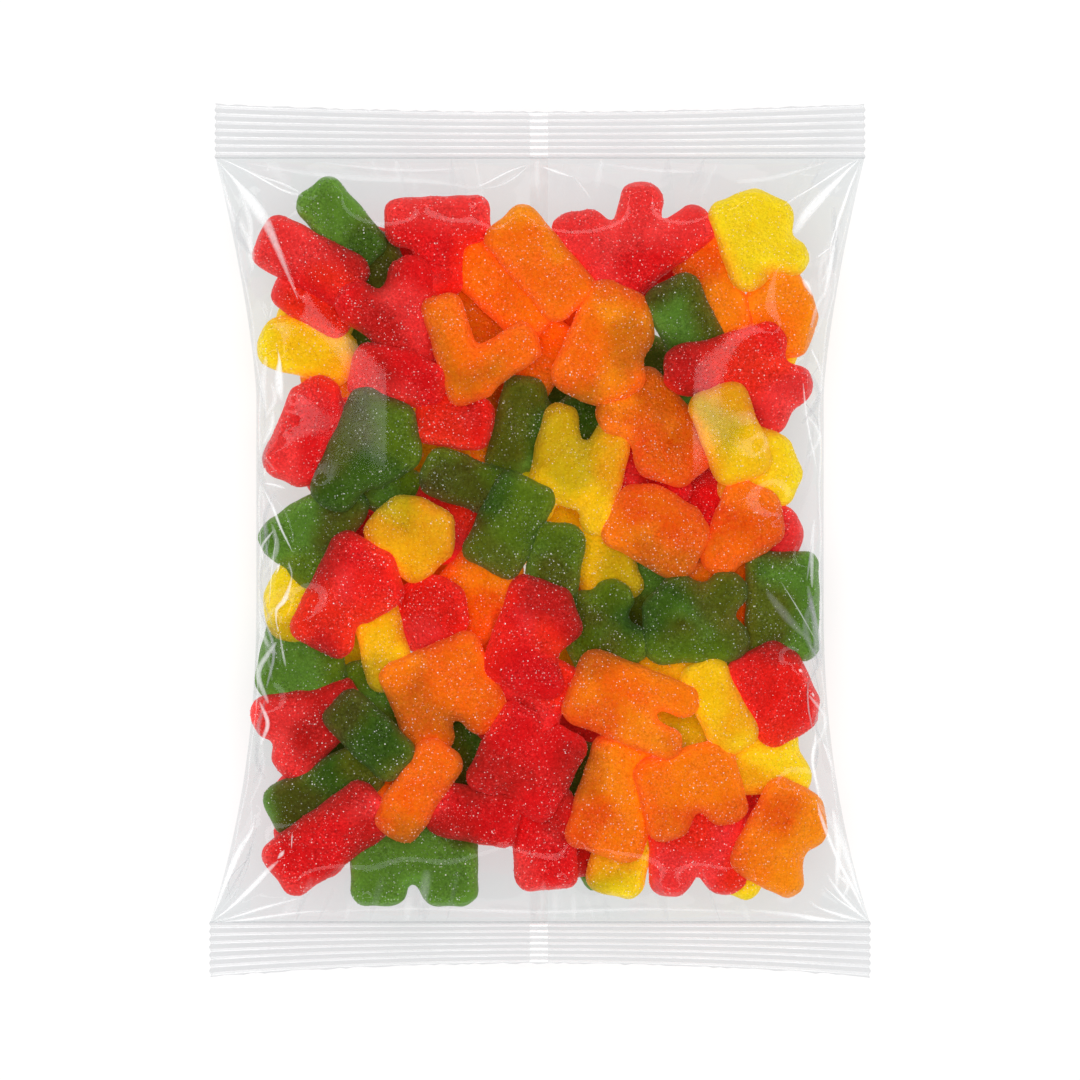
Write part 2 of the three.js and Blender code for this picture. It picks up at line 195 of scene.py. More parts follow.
backForms = ["A", "B", "D", "E", "K", "L", "M", "N", "O", "P", "R", "T", "U", "V", "Y", "block", "arch"]
backColours = ["red", "orange", "yellow", "green"]
backPlan = {
    "seed": 11, "letterSeed": 500, "tries": 900, "most": 58, "leastGap": 12,
    "height": (20, 26), "width": (15, 21),
    "blockShare": 0.75, "stroke": 9.8, "shade": (-0.6, 0.6), "reach": (-68, 52), "sideInset": 15,
    "offFilm": 8.5, "covered": 0.88, "buried": 0.25, "heartInset": 11, "heartEnd": 69,
}


# where two fields that are negative inside meet, with the corner between them rounded
def rounded(a, b, radius):
    return np.hypot(np.maximum(a, 0), np.maximum(b, 0)) + np.minimum(np.maximum(a, b), 0) - radius


def barDistance(px, py, a, b, half, corner):
    length = math.hypot(b[0] - a[0], b[1] - a[1]) + 1e-6
    ux, uy = (b[0] - a[0]) / length, (b[1] - a[1]) / length
    dx, dy = px - (a[0] + b[0]) / 2, py - (a[1] + b[1]) / 2
    lengthways = np.abs(dx * ux + dy * uy) - (length / 2 + half - corner)
    sideways = np.abs(dy * ux - dx * uy) - (half - corner)
    return rounded(lengthways, sideways, corner)


def outlineDistance(px, py, corners):
    nearest = np.full(px.shape, 1e9)
    inside = np.zeros(px.shape, bool)
    for a, b in zip(corners, corners[1:] + corners[:1]):
        along = (b[0] - a[0], b[1] - a[1])
        t = ((px - a[0]) * along[0] + (py - a[1]) * along[1]) / (along[0] ** 2 + along[1] ** 2)
        t = np.clip(t, 0, 1)
        nearest = np.minimum(nearest, np.hypot(px - a[0] - t * along[0], py - a[1] - t * along[1]))
        rise = along[1] if abs(along[1]) > 1e-9 else 1e-9
        inside ^= ((a[1] > py) != (b[1] > py)) & (px < along[0] * (py - a[1]) / rise + a[0])
    return np.where(inside, -nearest, nearest)


def softMin(a, b, blend):
    share = np.clip(0.5 + 0.5 * (b - a) / blend, 0, 1)
    return b * (1 - share) + a * share - blend * share * (1 - share)


class Letter:
    def __init__(self, form, colour, x, y, turn, high, wide, stroke, shade, seed):
        self.strokes, self.dents, self.corner = letterForms[form]
        self.colour, self.shade = colour, shade
        self.x, self.y, self.turn = x, y, math.radians(turn)
        self.high, self.wide = high, wide
        self.stroke = min(stroke, letterSize["strokeShare"] * min(high, wide) + 2)
        self.half = letterSize["thickness"] / 2
        self.waves = np.random.default_rng(seed).uniform(0, 2 * math.pi, 8)
        self.leanX = self.leanY = self.z = 0.0
        self.stretch = 1.0

    # distance to the outline in the letter's own plane, negative inside, and how far the bars are
    def plan(self, u, v):
        corner = min(self.corner, self.stroke / 2 - 0.05)
        joined = nearest = None
        for corners in self.strokes:
            inset = self.stroke if len(corners) == 2 else 2 * corner
            points = [((a - 0.5) * (self.wide - inset), (b - 0.5) * (self.high - inset)) for a, b in corners]
            if len(corners) == 2:
                d = barDistance(u, v, points[0], points[1], self.stroke / 2, corner)
            else:
                d = outlineDistance(u, v, points) - corner
            joined = d if joined is None else softMin(joined, d, letterSize["blend"])
            nearest = d if nearest is None else np.minimum(nearest, d)
        box = np.hypot(np.maximum(np.abs(u) - self.wide / 2 + corner, 0),
                       np.maximum(np.abs(v) - self.high / 2 + corner, 0)) - corner
        joined = np.maximum(joined, box)
        w = self.waves
        wobble = np.sin(u * 0.55 + w[0]) * np.sin(v * 0.5 + w[1]) + 0.6 * np.sin(u * 1.1 + v * 0.9 + w[2])
        wobble = letterSize["uneven"] * wobble
        return joined + wobble, nearest + wobble

    # half thickness inside the outline: swollen here and there, grooved where bars join, and dented
    def top(self, u, v, nearest):
        groove = letterSize["grooveDepth"] * np.maximum(0, nearest + letterSize["grooveFrom"])
        height = self.half + self.swell(u, v) - np.minimum(groove, letterSize["mostGroove"])
        for a, b in self.dents:
            du = u - (a - 0.5) * (self.wide - self.stroke)
            dv = v - (b - 0.5) * (self.high - self.stroke)
            height -= letterSize["dentDepth"] * np.exp(-(du ** 2 + dv ** 2) / letterSize["dentRadius"] ** 2)
        return height

    def profile(self, u, v, joined, nearest):
        edge = letterSize["edgeRound"]
        inward = np.clip(joined + edge, 0, edge)
        return self.top(u, v, nearest) - edge + np.sqrt(np.maximum(0, edge ** 2 - inward ** 2))

    def swell(self, u, v):
        w = self.waves
        broad = np.sin(u * 0.42 + w[3]) * np.sin(v * 0.38 + w[4]) + 0.5 * np.sin(u * 1.1 - v + w[5])
        return letterSize["swell"] * (broad + 0.35 * np.sin(u * 2.3 + w[6]) * np.sin(v * 2.1 + w[7]))

    def toPlane(self, x, y):
        dx, dy = x - self.x, y - self.y
        c, s = math.cos(self.turn), math.sin(self.turn)
        return dx * c + dy * s, -dx * s + dy * c


# closed surface of a field that is negative inside, one point for each cell that it crosses
def surfaceNet(field, origin, step):
    shape = tuple(n - 1 for n in field.shape)
    total = np.zeros((int(np.prod(shape)), 3))
    count = np.zeros(int(np.prod(shape)))
    faces = []
    for axis in range(3):
        low = [slice(None)] * 3
        high = [slice(None)] * 3
        low[axis], high[axis] = slice(None, -1), slice(1, None)
        a, b = field[tuple(low)], field[tuple(high)]
        cross = (a < 0) != (b < 0)
        cell = np.argwhere(cross)
        point = cell.astype(float)
        point[:, axis] += a[cross] / (a[cross] - b[cross])
        u, v = (axis + 1) % 3, (axis + 2) % 3
        around = []
        for du, dv in ((0, 0), (1, 0), (1, 1), (0, 1)):
            near = cell.copy()
            near[:, u] -= du
            near[:, v] -= dv
            flat = np.ravel_multi_index(near.T, shape)
            for k in range(3):
                total[:, k] += np.bincount(flat, point[:, k], len(total))
            count += np.bincount(flat, None, len(total))
            around.append(flat)
        quad = np.stack(around, 1)
        inwards = a[cross] >= 0
        quad[inwards] = quad[inwards][:, ::-1]
        faces.append(quad)
    used = count > 0
    index = np.cumsum(used) - 1
    points = total[used] / count[used][:, None] * step + origin
    return points, index[np.concatenate(faces)]


def letterMesh(letter, step):
    margin = 2.2 * step + 1
    u = np.arange(-letter.wide / 2 - margin, letter.wide / 2 + margin + step, step)
    v = np.arange(-letter.high / 2 - margin, letter.high / 2 + margin + step, step)
    w = np.arange(-letter.half - margin, letter.half + margin + step, step)
    U, V = np.meshgrid(u, v, indexing="ij")
    joined, nearest = letter.plan(U, V)
    edge = letterSize["edgeRound"]
    front = letter.top(U, V, nearest)
    back = letter.half + letterSize["backSwell"] * letter.swell(U, V)
    height = np.where(w > 0, front[:, :, None], back[:, :, None])
    outer = joined[:, :, None] + edge
    upper = np.abs(w)[None, None, :] - height + edge
    points, quads = surfaceNet(rounded(outer, upper, edge), np.array([u[0], v[0], w[0]]), step)
    rim = np.clip(letter.plan(points[:, 0], points[:, 1])[0] / edge + 1, 0, 1)
    c, s = math.cos(letter.turn), math.sin(letter.turn)
    x, y = points[:, 0] * c - points[:, 1] * s, points[:, 0] * s + points[:, 1] * c
    z = letter.z + points[:, 2] * letter.stretch + letter.leanX * x + letter.leanY * y
    z = np.maximum(z, heap["lowest"])
    return np.stack([x + letter.x, y + letter.y, z], 1), quads, rim


# how the letters lie: each is pushed up against the film and the letters over it

heap = {
    "step": 0.75, "gridReach": (78, 90), "press": 5.0, "touch": 0.04, "sunk": 0.9,
    "leanReach": 0.42, "leanSteps": 7, "mostLean": 0.85,
    "lowest": 0.45, "filmGap": 0.3, "groundGap": 0.15, "empty": -50.0,
}
gridX, gridY = [np.arange(-reach, reach + 0.1, heap["step"]) for reach in heap["gridReach"]]
mapX, mapY = np.meshgrid(gridX, gridY, indexing="ij")
rise = filmRise(mapX, mapY)
insideBag = (np.abs(mapX) < halfWidth(mapY)) & (np.abs(mapY) < bag["sealLine"])
ceiling = bag["midHeight"] + rise - heap["filmGap"]
backFilm = np.maximum(heap["lowest"], bag["midHeight"] - rise)
ground = backFilm + heap["groundGap"]
topOfHeap = np.full(mapX.shape, heap["empty"])
slopeX, slopeY = np.gradient(rise, heap["step"])


def footprint(letter):
    reach = math.hypot(letter.high, letter.wide) / 2 + 1
    i0, i1 = np.searchsorted(gridX, [letter.x - reach, letter.x + reach])
    j0, j1 = np.searchsorted(gridY, [letter.y - reach, letter.y + reach])
    window = (slice(i0, i1), slice(j0, j1))
    u, v = letter.toPlane(mapX[window], mapY[window])
    joined, nearest = letter.plan(u, v)
    return window, joined < 0, letter.profile(u, v, joined, nearest)


# height, lean and stretch that bring a letter closest to a surface: under it if side is 1, on it if -1
def closestLie(surface, profile, dx, dy, slope, side):
    around = np.linspace(-1, 1, heap["leanSteps"]) * heap["leanReach"]
    alongX, alongY = [np.clip(middle + around, -heap["mostLean"], heap["mostLean"]) for middle in slope]
    share = heap["touch"] if side > 0 else 1 - heap["touch"]
    best = None
    for a in alongX:
        for b in alongY:
            stretch = math.sqrt(1 + a * a + b * b)
            z = float(np.quantile(surface - side * profile * stretch - a * dx - b * dy, share))
            if best is None or side * z > side * best[0]:
                best = (z, a, b, stretch)
    return best


def slopeAt(letter):
    i = int(round((letter.x - gridX[0]) / heap["step"]))
    j = int(round((letter.y - gridY[0]) / heap["step"]))
    return float(slopeX[i, j]), float(slopeY[i, j])


# a front letter, pushed up against the film and what already lies there
def lieUnder(letter):
    window, on, profile = footprint(letter)
    dx, dy = mapX[window][on] - letter.x, mapY[window][on] - letter.y
    z, a, b, stretch = closestLie(ceiling[window][on], profile[on], dx, dy, slopeAt(letter), 1)
    plane = a * dx + b * dy - profile[on] * stretch
    z = max(z, float(np.quantile(ground[window][on] - plane, heap["sunk"])))
    settle(letter, window, on, profile, z, a, b, stretch)


# a back letter, if there is room for it on the back film and the front ones hide it
def lieOver(letter, backSlope):
    window, on, profile = footprint(letter)
    if not on.any() or not insideBag[window][on].all():
        return False
    dx, dy = mapX[window][on] - letter.x, mapY[window][on] - letter.y
    z, a, b, stretch = closestLie(ground[window][on], profile[on], dx, dy, backSlope, -1)
    buried = np.mean(z + a * dx + b * dy > ceiling[window][on]) > backPlan["buried"]
    seen = np.mean(covered[window][on]) < backPlan["covered"]
    if buried or seen or z - np.median(backFilm[window][on]) > backPlan["offFilm"]:
        return False
    settle(letter, window, on, profile, z, a, b, stretch)
    return True


def settle(letter, window, on, profile, z, a, b, stretch):
    letter.z, letter.leanX, letter.leanY, letter.stretch = z, a, b, stretch
    plane = z + a * (mapX[window] - letter.x) + b * (mapY[window] - letter.y)
    low, high = plane - profile * stretch, plane + profile * stretch
    if letter.fromBelow:
        ground[window] = np.where(on, np.maximum(ground[window], high - heap["press"]), ground[window])
    else:
        ceiling[window] = np.where(on, np.minimum(ceiling[window], low + heap["press"]), ceiling[window])
    topOfHeap[window] = np.where(on, np.maximum(topOfHeap[window], high), topOfHeap[window])
    letter.window, letter.on, letter.plane = window, on, plane


letters = []
for number, row in enumerate(frontLetters):
    letter = Letter(*row, seed=100 + number)
    letter.fromBelow = False
    lieUnder(letter)
    letters.append(letter)

for number, (form, colour, x, y, turn, *size) in enumerate(deepLetters):
    high, wide = size or (deepPlan["height"], deepPlan["blockWidth" if form == "block" else "width"])
    letter = Letter(form, colour, x, y, turn, high, wide, deepPlan["stroke"], deepPlan["shade"],
                    seed=deepPlan["letterSeed"] + number)
    letter.fromBelow = False
    lieUnder(letter)
    letters.append(letter)
frontCount = len(letters)

# the back layer lies on the back film, first where light would show between the front letters
covered = topOfHeap > heap["empty"]
draw = np.random.default_rng(backPlan["seed"])
heartOfBag = np.abs(mapX) < halfWidth(mapY) - backPlan["heartInset"]
heartOfBag &= np.abs(mapY) < backPlan["heartEnd"]
for attempt in range(backPlan["tries"]):
    bare = np.argwhere(heartOfBag & (topOfHeap <= heap["empty"]))
    if len(bare) > backPlan["leastGap"]:
        i, j = bare[draw.integers(len(bare))]
        x, y = gridX[i], gridY[j]
    else:
        y = draw.uniform(*backPlan["reach"])
        x = draw.uniform(-1, 1) * (halfWidth(y) - backPlan["sideInset"])
    form = backForms[draw.integers(len(backForms))]
    wide = draw.uniform(*backPlan["width"]) * (backPlan["blockShare"] if form == "block" else 1)
    colour = backColours[draw.integers(len(backColours))]
    turn, high = draw.uniform(0, 360), draw.uniform(*backPlan["height"])
    letter = Letter(form, colour, float(x), float(y), turn, high, wide, backPlan["stroke"],
                    draw.uniform(*backPlan["shade"]), seed=backPlan["letterSeed"] + attempt)
    letter.fromBelow = True
    backX, backY = slopeAt(letter)
    if bag["midHeight"] - rise[np.searchsorted(gridX, x), np.searchsorted(gridY, y)] < heap["lowest"]:
        backX = backY = 0.0
    if len(letters) < frontCount + backPlan["most"] and lieOver(letter, (-backX, -backY)):
        letters.append(letter)
print(frontCount, "letters at the front,", len(letters) - frontCount, "behind them")


# meshes and finishes

class Value:
    def __init__(self, finish, socket):
        self.finish, self.socket = finish, socket

    def joined(self, operation, first, second):
        return self.finish.add("ShaderNodeMath", {"operation": operation}, {0: first, 1: second})

    def __add__(self, other):
        return self.joined("ADD", self, other)

    def __sub__(self, other):
        return self.joined("SUBTRACT", self, other)

    def __rsub__(self, other):
        return self.joined("SUBTRACT", other, self)

    def __mul__(self, other):
        return self.joined("MULTIPLY", self, other)

    def __pow__(self, other):
        return self.joined("POWER", self, other)

    __radd__ = __add__
    __rmul__ = __mul__


class Finish:
    def __init__(self, name):
        self.material = bpy.data.materials.new(name)
        self.material.use_nodes = True
        self.nodes = self.material.node_tree.nodes
        self.links = self.material.node_tree.links
        self.nodes.clear()
        self.place = self.add("ShaderNodeTexCoord", output="Object")

    # any node: its settings first, then the values or links of its sockets
    def add(self, kind, settings=None, sockets=None, output=0):
        node = self.nodes.new(kind)
        for name, value in (settings or {}).items():
            setattr(node, name, value)
        for name, value in (sockets or {}).items():
            if isinstance(value, Value):
                self.links.new(value.socket, node.inputs[name])
            else:
                node.inputs[name].default_value = value
        return Value(self, node.outputs[output])

    def noise(self, size, detail=2.0, roughness=0.5):
        return self.add("ShaderNodeTexNoise", None, {
            "Vector": self.place, "Scale": 1 / (size * mm), "Detail": detail, "Roughness": roughness,
        })

    # noise that is 0 below low and 1 above high
    def patches(self, size, detail, low, high, roughness=0.5):
        return self.ramp(self.noise(size, detail, roughness), low, high)

    # a dot in the middle of some cells: the edge of a dot and its full part, and by chance which show
    def dots(self, size, edge, chance):
        gap = self.add("ShaderNodeTexVoronoi", None, {"Vector": self.place, "Scale": 1 / (size * mm)})
        luck = Value(self, gap.socket.node.outputs["Color"])
        return self.ramp(gap, *edge) * self.ramp(luck, *chance)

    def painted(self, name, output="Fac"):
        return self.add("ShaderNodeAttribute", {"attribute_name": name}, None, output)

    def ramp(self, value, low, high):
        return self.add("ShaderNodeMapRange", {"interpolation_type": "SMOOTHSTEP"},
                        {"Value": value, "From Min": low, "From Max": high})

    def mixed(self, factor, first, second, blend="MIX"):
        settings = {"data_type": "RGBA", "blend_type": blend}
        return self.add("ShaderNodeMix", settings, {0: factor, 6: first, 7: second}, 2)

    def bump(self, height, distance, strength=1.0):
        return self.add("ShaderNodeBump", None, {
            "Height": height, "Distance": distance * mm, "Strength": strength,
        })

    def overClear(self, factor, tint, shader):
        clear = self.add("ShaderNodeBsdfTransparent", None, {"Color": tint})
        return self.shade(self.add("ShaderNodeMixShader", None, {0: factor, 1: clear, 2: shader}))

    def shade(self, shader):
        self.links.new(shader.socket, self.nodes.new("ShaderNodeOutputMaterial").inputs["Surface"])
        return self.material


def makePiece(name, points, faces, material, smooth=True, paint=None):
    mesh = bpy.data.meshes.new(name)
    faces = np.asarray(faces)
    mesh.vertices.add(len(points))
    mesh.vertices.foreach_set("co", (np.asarray(points) * mm).astype(np.float32).ravel())
    mesh.loops.add(faces.size)
    mesh.loops.foreach_set("vertex_index", faces.ravel().astype(np.int32))
    mesh.polygons.add(len(faces))
    sides = faces.shape[1]
    mesh.polygons.foreach_set("loop_start", np.arange(0, faces.size, sides, dtype=np.int32))
    mesh.polygons.foreach_set("loop_total", np.full(len(faces), sides, np.int32))
    mesh.polygons.foreach_set("use_smooth", np.full(len(faces), smooth))
    mesh.update(calc_edges=True)
    mesh.validate()
    for key, value in (paint or {}).items():
        value = np.asarray(value, np.float32)
        if value.ndim == 1:
            mesh.attributes.new(key, "FLOAT", "POINT").data.foreach_set("value", value)
        else:
            colour = np.hstack([value, np.ones((len(value), 1), np.float32)])
            mesh.attributes.new(key, "FLOAT_COLOR", "POINT").data.foreach_set("color", colour.ravel())
    mesh.materials.append(material)
    piece = bpy.data.objects.new(name, mesh)
    bpy.context.scene.collection.objects.link(piece)
    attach(piece, "root")
    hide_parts("bag")


# several meshes joined into one piece, with what is painted on their points
class Joined:
    def __init__(self):
        self.points, self.faces, self.painted, self.used = [], [], {}, 0

    def take(self, points, faces, **painted):
        self.points.append(points)
        self.faces.append(faces + self.used)
        self.used += len(points)
        for key, value in painted.items():
            self.painted.setdefault(key, []).append(value)

    def piece(self, name, material, slot):
        faces = np.concatenate(self.faces)
        paint = {key: np.concatenate(values) for key, values in self.painted.items()}
        makePiece(name, np.concatenate(self.points), faces, material, paint=paint)
        print(name + ":", len(faces) * 2, "triangles")


def gridPoints(x, y, z):
    return np.stack(np.broadcast_arrays(x, y, z), -1).reshape(-1, 3)


def gridFaces(columns, rows, flip):
    i, j = np.meshgrid(np.arange(columns - 1), np.arange(rows - 1), indexing="ij")
    a = (i * rows + j).ravel()
    quad = np.stack([a, a + rows, a + rows + 1, a + 1], 1)
    return quad[:, ::-1] if flip else quad


# body colours, tint of the painted light shining through, colour of the painted light it passes up to a
# letter above, how much painted through-light shows, and strength of the painted light and shade of small
# bumps
jelly = {
    "red": {
        "deep": (0.56, 0.002, 0.004, 1), "bright": (0.98, 0.010, 0.012, 1), "tint": (1, 0.075, 0.065, 1),
        "under": (0.62, 0.015, 0.015), "clear": 0.34, "bumpShading": 1.8,
    },
    "orange": {
        "deep": (0.94, 0.085, 0.0005, 1), "bright": (1.0, 0.225, 0.001, 1), "tint": (1, 0.38, 0.004, 1),
        "under": (0.95, 0.24, 0.008), "clear": 0.34, "bumpShading": 1.05,
    },
    "yellow": {
        "deep": (0.90, 0.42, 0.001, 1), "bright": (1.0, 0.66, 0.006, 1), "tint": (1, 0.82, 0.012, 1),
        "under": (0.98, 0.60, 0.02), "clear": 0.36, "bumpShading": 0.8,
    },
    "green": {
        "deep": (0.026, 0.056, 0.003, 1), "bright": (0.075, 0.145, 0.008, 1), "tint": (0.22, 0.50, 0.06, 1),
        "under": (0.07, 0.14, 0.012), "clear": 0.24, "bumpShading": 1.9,
    },
}
# painted light: light shining up through the jelly, more of it at the rims, and light the jelly emits, most
# at the rims
paintedLight = {"atRim": 0.22, "blurCells": 2, "floor": (1.0, 1.0, 1.0), "paintedGlow": 0.28, "paintedInnerGlow": 0.12}
cloudy = {
    "cloud": (8, 2, 0.3, 0.7), "cloudShare": 0.35, "mottle": (1.1, 3, 0.28, 0.72, 0.65), "mottleShare": 0.42,
    "shadeShare": 0.25, "base": 0.12,
}
frost = {
    "colour": (1.0, 0.94, 0.88, 1), "patch": (6.0, 2, 0.38, 0.60), "leastCoat": 0.15,
    "bumpShading": (0.6, 3, 0.7), "bumpShadingMiddle": 0.51, "leastBumpShading": 0.45, "grainShare": 0.10, "grainPower": 5,
    "speck": (0.62, (0.36, 0.10), (0.55, 0.98)), "speckShare": 0.95, "leastSpeck": 0.15, "speckGain": 1.5,
    "fine": (0.30, (0.36, 0.06), (0.40, 0.80)), "fineShare": 0.15, "paintedRimSheen": 0.012,
    "pits": (0.9, 3, 0.66), "relief": 0.8, "roughness": 0.40, "patchRoughness": 0.15, "specular": 0.14,
}
sugar = {
    "perArea": 0.95, "size": (0.10, 0.21), "uneven": (0.7, 1.3), "sunk": 0.05, "seed": 5,
    "whiteShare": 0.25, "white": (0.5, 1.0), "tinted": (0.0, 0.04),
    "patchSize": 5.0, "middle": 0.75, "patchGain": 0.6, "fewest": 0.12, "most": 1.7,
    "upward": 0.45, "leastShown": 0.08, "backShare": 0.22,
    "worn": (1.5, 2, 0.3, 0.7), "wornShare": 0.15, "wornColour": (1, 0.98, 0.95, 1),
    "roughness": 0.2, "specular": 0.5,
}


# painted light from below: the colour of the light that comes up through whatever lies right under each
# point of a letter, white from the floor, softened as the jelly blurs it
def paintedLightBelow(letter, points):
    across, up = letter.window
    highest = np.full(letter.plane.shape, heap["empty"])
    seen = np.tile(np.array(paintedLight["floor"]), letter.plane.shape + (1,))
    for other in letters:
        shared = [(max(a.start, b.start), min(a.stop, b.stop)) for a, b in zip(letter.window, other.window)]
        if other is letter or any(first >= last for first, last in shared):
            continue
        mine, theirs = [tuple(slice(first - whole.start, last - whole.start)
                              for (first, last), whole in zip(shared, window))
                        for window in (letter.window, other.window)]
        height = other.plane[theirs]
        lower = other.on[theirs] & (height < letter.plane[mine]) & (height > highest[mine])
        highest[mine][lower] = height[lower]
        seen[mine][lower] = jelly[other.colour]["under"]
    reach = paintedLight["blurCells"]
    rows, columns = letter.plane.shape
    padded = np.pad(seen, ((reach, reach), (reach, reach), (0, 0)), mode="edge")
    shifts = [(a, b) for a in range(2 * reach + 1) for b in range(2 * reach + 1)]
    seen = sum(padded[a:a + rows, b:b + columns] for a, b in shifts) / len(shifts)
    i = np.clip(np.rint((points[:, 0] - gridX[across.start]) / heap["step"]).astype(int), 0, rows - 1)
    j = np.clip(np.rint((points[:, 1] - gridY[up.start]) / heap["step"]).astype(int), 0, columns - 1)
    return seen[i, j]


def jellyFinish(colour):
    tone = jelly[colour]
    f = Finish("jelly_" + colour)
    rim = f.painted("rim")
    patch = f.patches(*frost["patch"])
    cloud, mottle = f.patches(*cloudy["cloud"]), f.patches(*cloudy["mottle"])
    depth = cloudy["shadeShare"] * f.painted("shade") + cloudy["base"]
    depth = depth + cloudy["cloudShare"] * cloud + cloudy["mottleShare"] * mottle
    body = f.mixed(depth, tone["deep"], tone["bright"])
    # painted light from below, tinted by the jelly, is mixed into its colour, more of it at the rims
    through = f.mixed(1.0, f.painted("below", "Color"), tone["tint"], "MULTIPLY")
    seen = f.mixed(tone["clear"] + paintedLight["atRim"] * rim, body, through)

    # painted light and shade of small bumps darkens and lightens the jelly, and the frost of sugar lies on
    # it in patches
    bumpShading = f.noise(*frost["bumpShading"])
    bumpShadingShare = tone["bumpShading"] * (frost["leastBumpShading"] + (1 - frost["leastBumpShading"]) * patch)
    bumpShaded = f.mixed(1.0, seen, 1.0 + (bumpShading - frost["bumpShadingMiddle"]) * bumpShadingShare, "MULTIPLY")
    speck = f.dots(*frost["speck"]) * (frost["leastSpeck"] + frost["speckGain"] * mottle)
    fine = f.dots(*frost["fine"]) * mottle
    grains = frost["grainShare"] * bumpShading ** frost["grainPower"]
    grains = grains + frost["speckShare"] * speck + frost["fineShare"] * fine
    coat = frost["leastCoat"] + (1 - frost["leastCoat"]) * patch
    # a little painted sheen whitens the rims towards the frost colour
    frosty = f.mixed(coat * grains + frost["paintedRimSheen"] * rim ** 2, bumpShaded, frost["colour"])
    # painted light: the jelly emits its own colour, most at the rims, standing in for light passing through
    # it
    paintedGlowing = paintedLight["paintedInnerGlow"] + (1 - paintedLight["paintedInnerGlow"]) * rim
    shader = f.add("ShaderNodeBsdfPrincipled", None, {
        "Base Color": frosty, "Roughness": frost["roughness"] + frost["patchRoughness"] * patch,
        "Specular IOR Level": frost["specular"], "Normal": f.bump(f.noise(*frost["pits"]), frost["relief"]),
        "Emission Color": f.mixed(1.0, frosty, paintedGlowing, "MULTIPLY"), "Emission Strength": paintedLight["paintedGlow"],
    })
    return f.shade(shader)


parts = {colour: Joined() for colour in jelly}
grainSpots, grainColours = [], []
draw = np.random.default_rng(sugar["seed"])
for number, letter in enumerate(letters):
    step = letterSize["gridStep"] * (1.0 if number < len(frontLetters) else letterSize["hiddenStep"])
    points, quads, rim = letterMesh(letter, step)
    shade = np.full(len(points), letter.shade)
    parts[letter.colour].take(points, quads, rim=rim, shade=shade, below=paintedLightBelow(letter, points))
    corner = points[quads]
    normal = np.cross(corner[:, 2] - corner[:, 0], corner[:, 3] - corner[:, 1])
    area = np.linalg.norm(normal, axis=1) / 2
    normal /= np.maximum(2 * area, 1e-9)[:, None]
    shown = np.full(len(area), sugar["backShare"])
    if number < frontCount:
        shown = np.clip(normal[:, 2] + sugar["upward"], sugar["leastShown"], 1)
    middleX, middleY = corner.mean(1).T[:2] / sugar["patchSize"]
    wave = letter.waves
    patchy = np.sin(middleX * 2.1 + wave[0]) * np.sin(middleY * 1.9 + wave[1])
    patchy += 0.5 * np.sin(middleX * 4.3 - middleY * 3.7 + wave[2])
    density = np.clip(sugar["middle"] + sugar["patchGain"] * patchy, sugar["fewest"], sugar["most"])
    chosen = draw.random(len(quads)) < area * sugar["perArea"] * shown * density
    mix = draw.random((chosen.sum(), 2))
    spot = (corner[chosen, 0] * (1 - mix[:, :1]) + corner[chosen, 1] * mix[:, :1]) * (1 - mix[:, 1:])
    spot += (corner[chosen, 3] * (1 - mix[:, :1]) + corner[chosen, 2] * mix[:, :1]) * mix[:, 1:]
    grainSpots.append(spot)
    grainColours.append(np.tile(jelly[letter.colour]["bright"][:3], (len(spot), 1)))

for colour, part in parts.items():
    part.piece(colour + "Letters", jellyFinish(colour), "jelly_" + colour)

# sugar: small four-sided crystals half sunk in the jelly, most of them tinted by it
grains = np.concatenate(grainSpots)
count = len(grains)
tetra = np.array([(1, 1, 1), (1, -1, -1), (-1, 1, -1), (-1, -1, 1)]) / math.sqrt(3)
turn = np.linalg.qr(draw.normal(size=(count, 3, 3)))[0]
turn *= np.sign(np.linalg.det(turn))[:, None, None]
size = draw.uniform(*sugar["size"], (count, 1, 1)) * draw.uniform(*sugar["uneven"], (count, 1, 3))
crystal = np.einsum("kij,pj->kpi", turn, tetra) * size + grains[:, None, :]
crystal[:, :, 2] = np.maximum(crystal[:, :, 2], heap["lowest"] - sugar["sunk"])
whiteness = np.where(draw.random(count) < sugar["whiteShare"], draw.uniform(*sugar["white"], count),
                     draw.uniform(*sugar["tinted"], count))[:, None]
grainTint = np.concatenate(grainColours) * (1 - whiteness) + whiteness
tetraFaces = np.array([(0, 1, 2), (0, 3, 1), (0, 2, 3), (1, 3, 2)])
crystalFaces = (tetraFaces[None] + 4 * np.arange(count)[:, None, None]).reshape(-1, 3)


def sugarFinish():
    f = Finish("sugar")
    share = f.patches(*sugar["worn"]) * sugar["wornShare"]
    shader = f.add("ShaderNodeBsdfPrincipled", None, {
        "Base Color": f.mixed(share, f.painted("tint", "Color"), sugar["wornColour"]),
        "Roughness": sugar["roughness"] * (1 + f.noise(0.8, 2)), "Specular IOR Level": sugar["specular"],
    })
    return f.shade(shader)


sugarMaterial = sugarFinish()
half = count // 2
for name, first, last in (("sugarA", 0, half), ("sugarB", half, count)):
    makePiece(name, crystal[first:last].reshape(-1, 3), crystalFaces[4 * first:4 * last] - 4 * first,
              sugarMaterial, smooth=False, paint={"tint": np.repeat(grainTint[first:last], 4, 0)})
print("sugar:", count, "crystals")

# film: drawn tight over the letters, pinned at the seals and the side folds

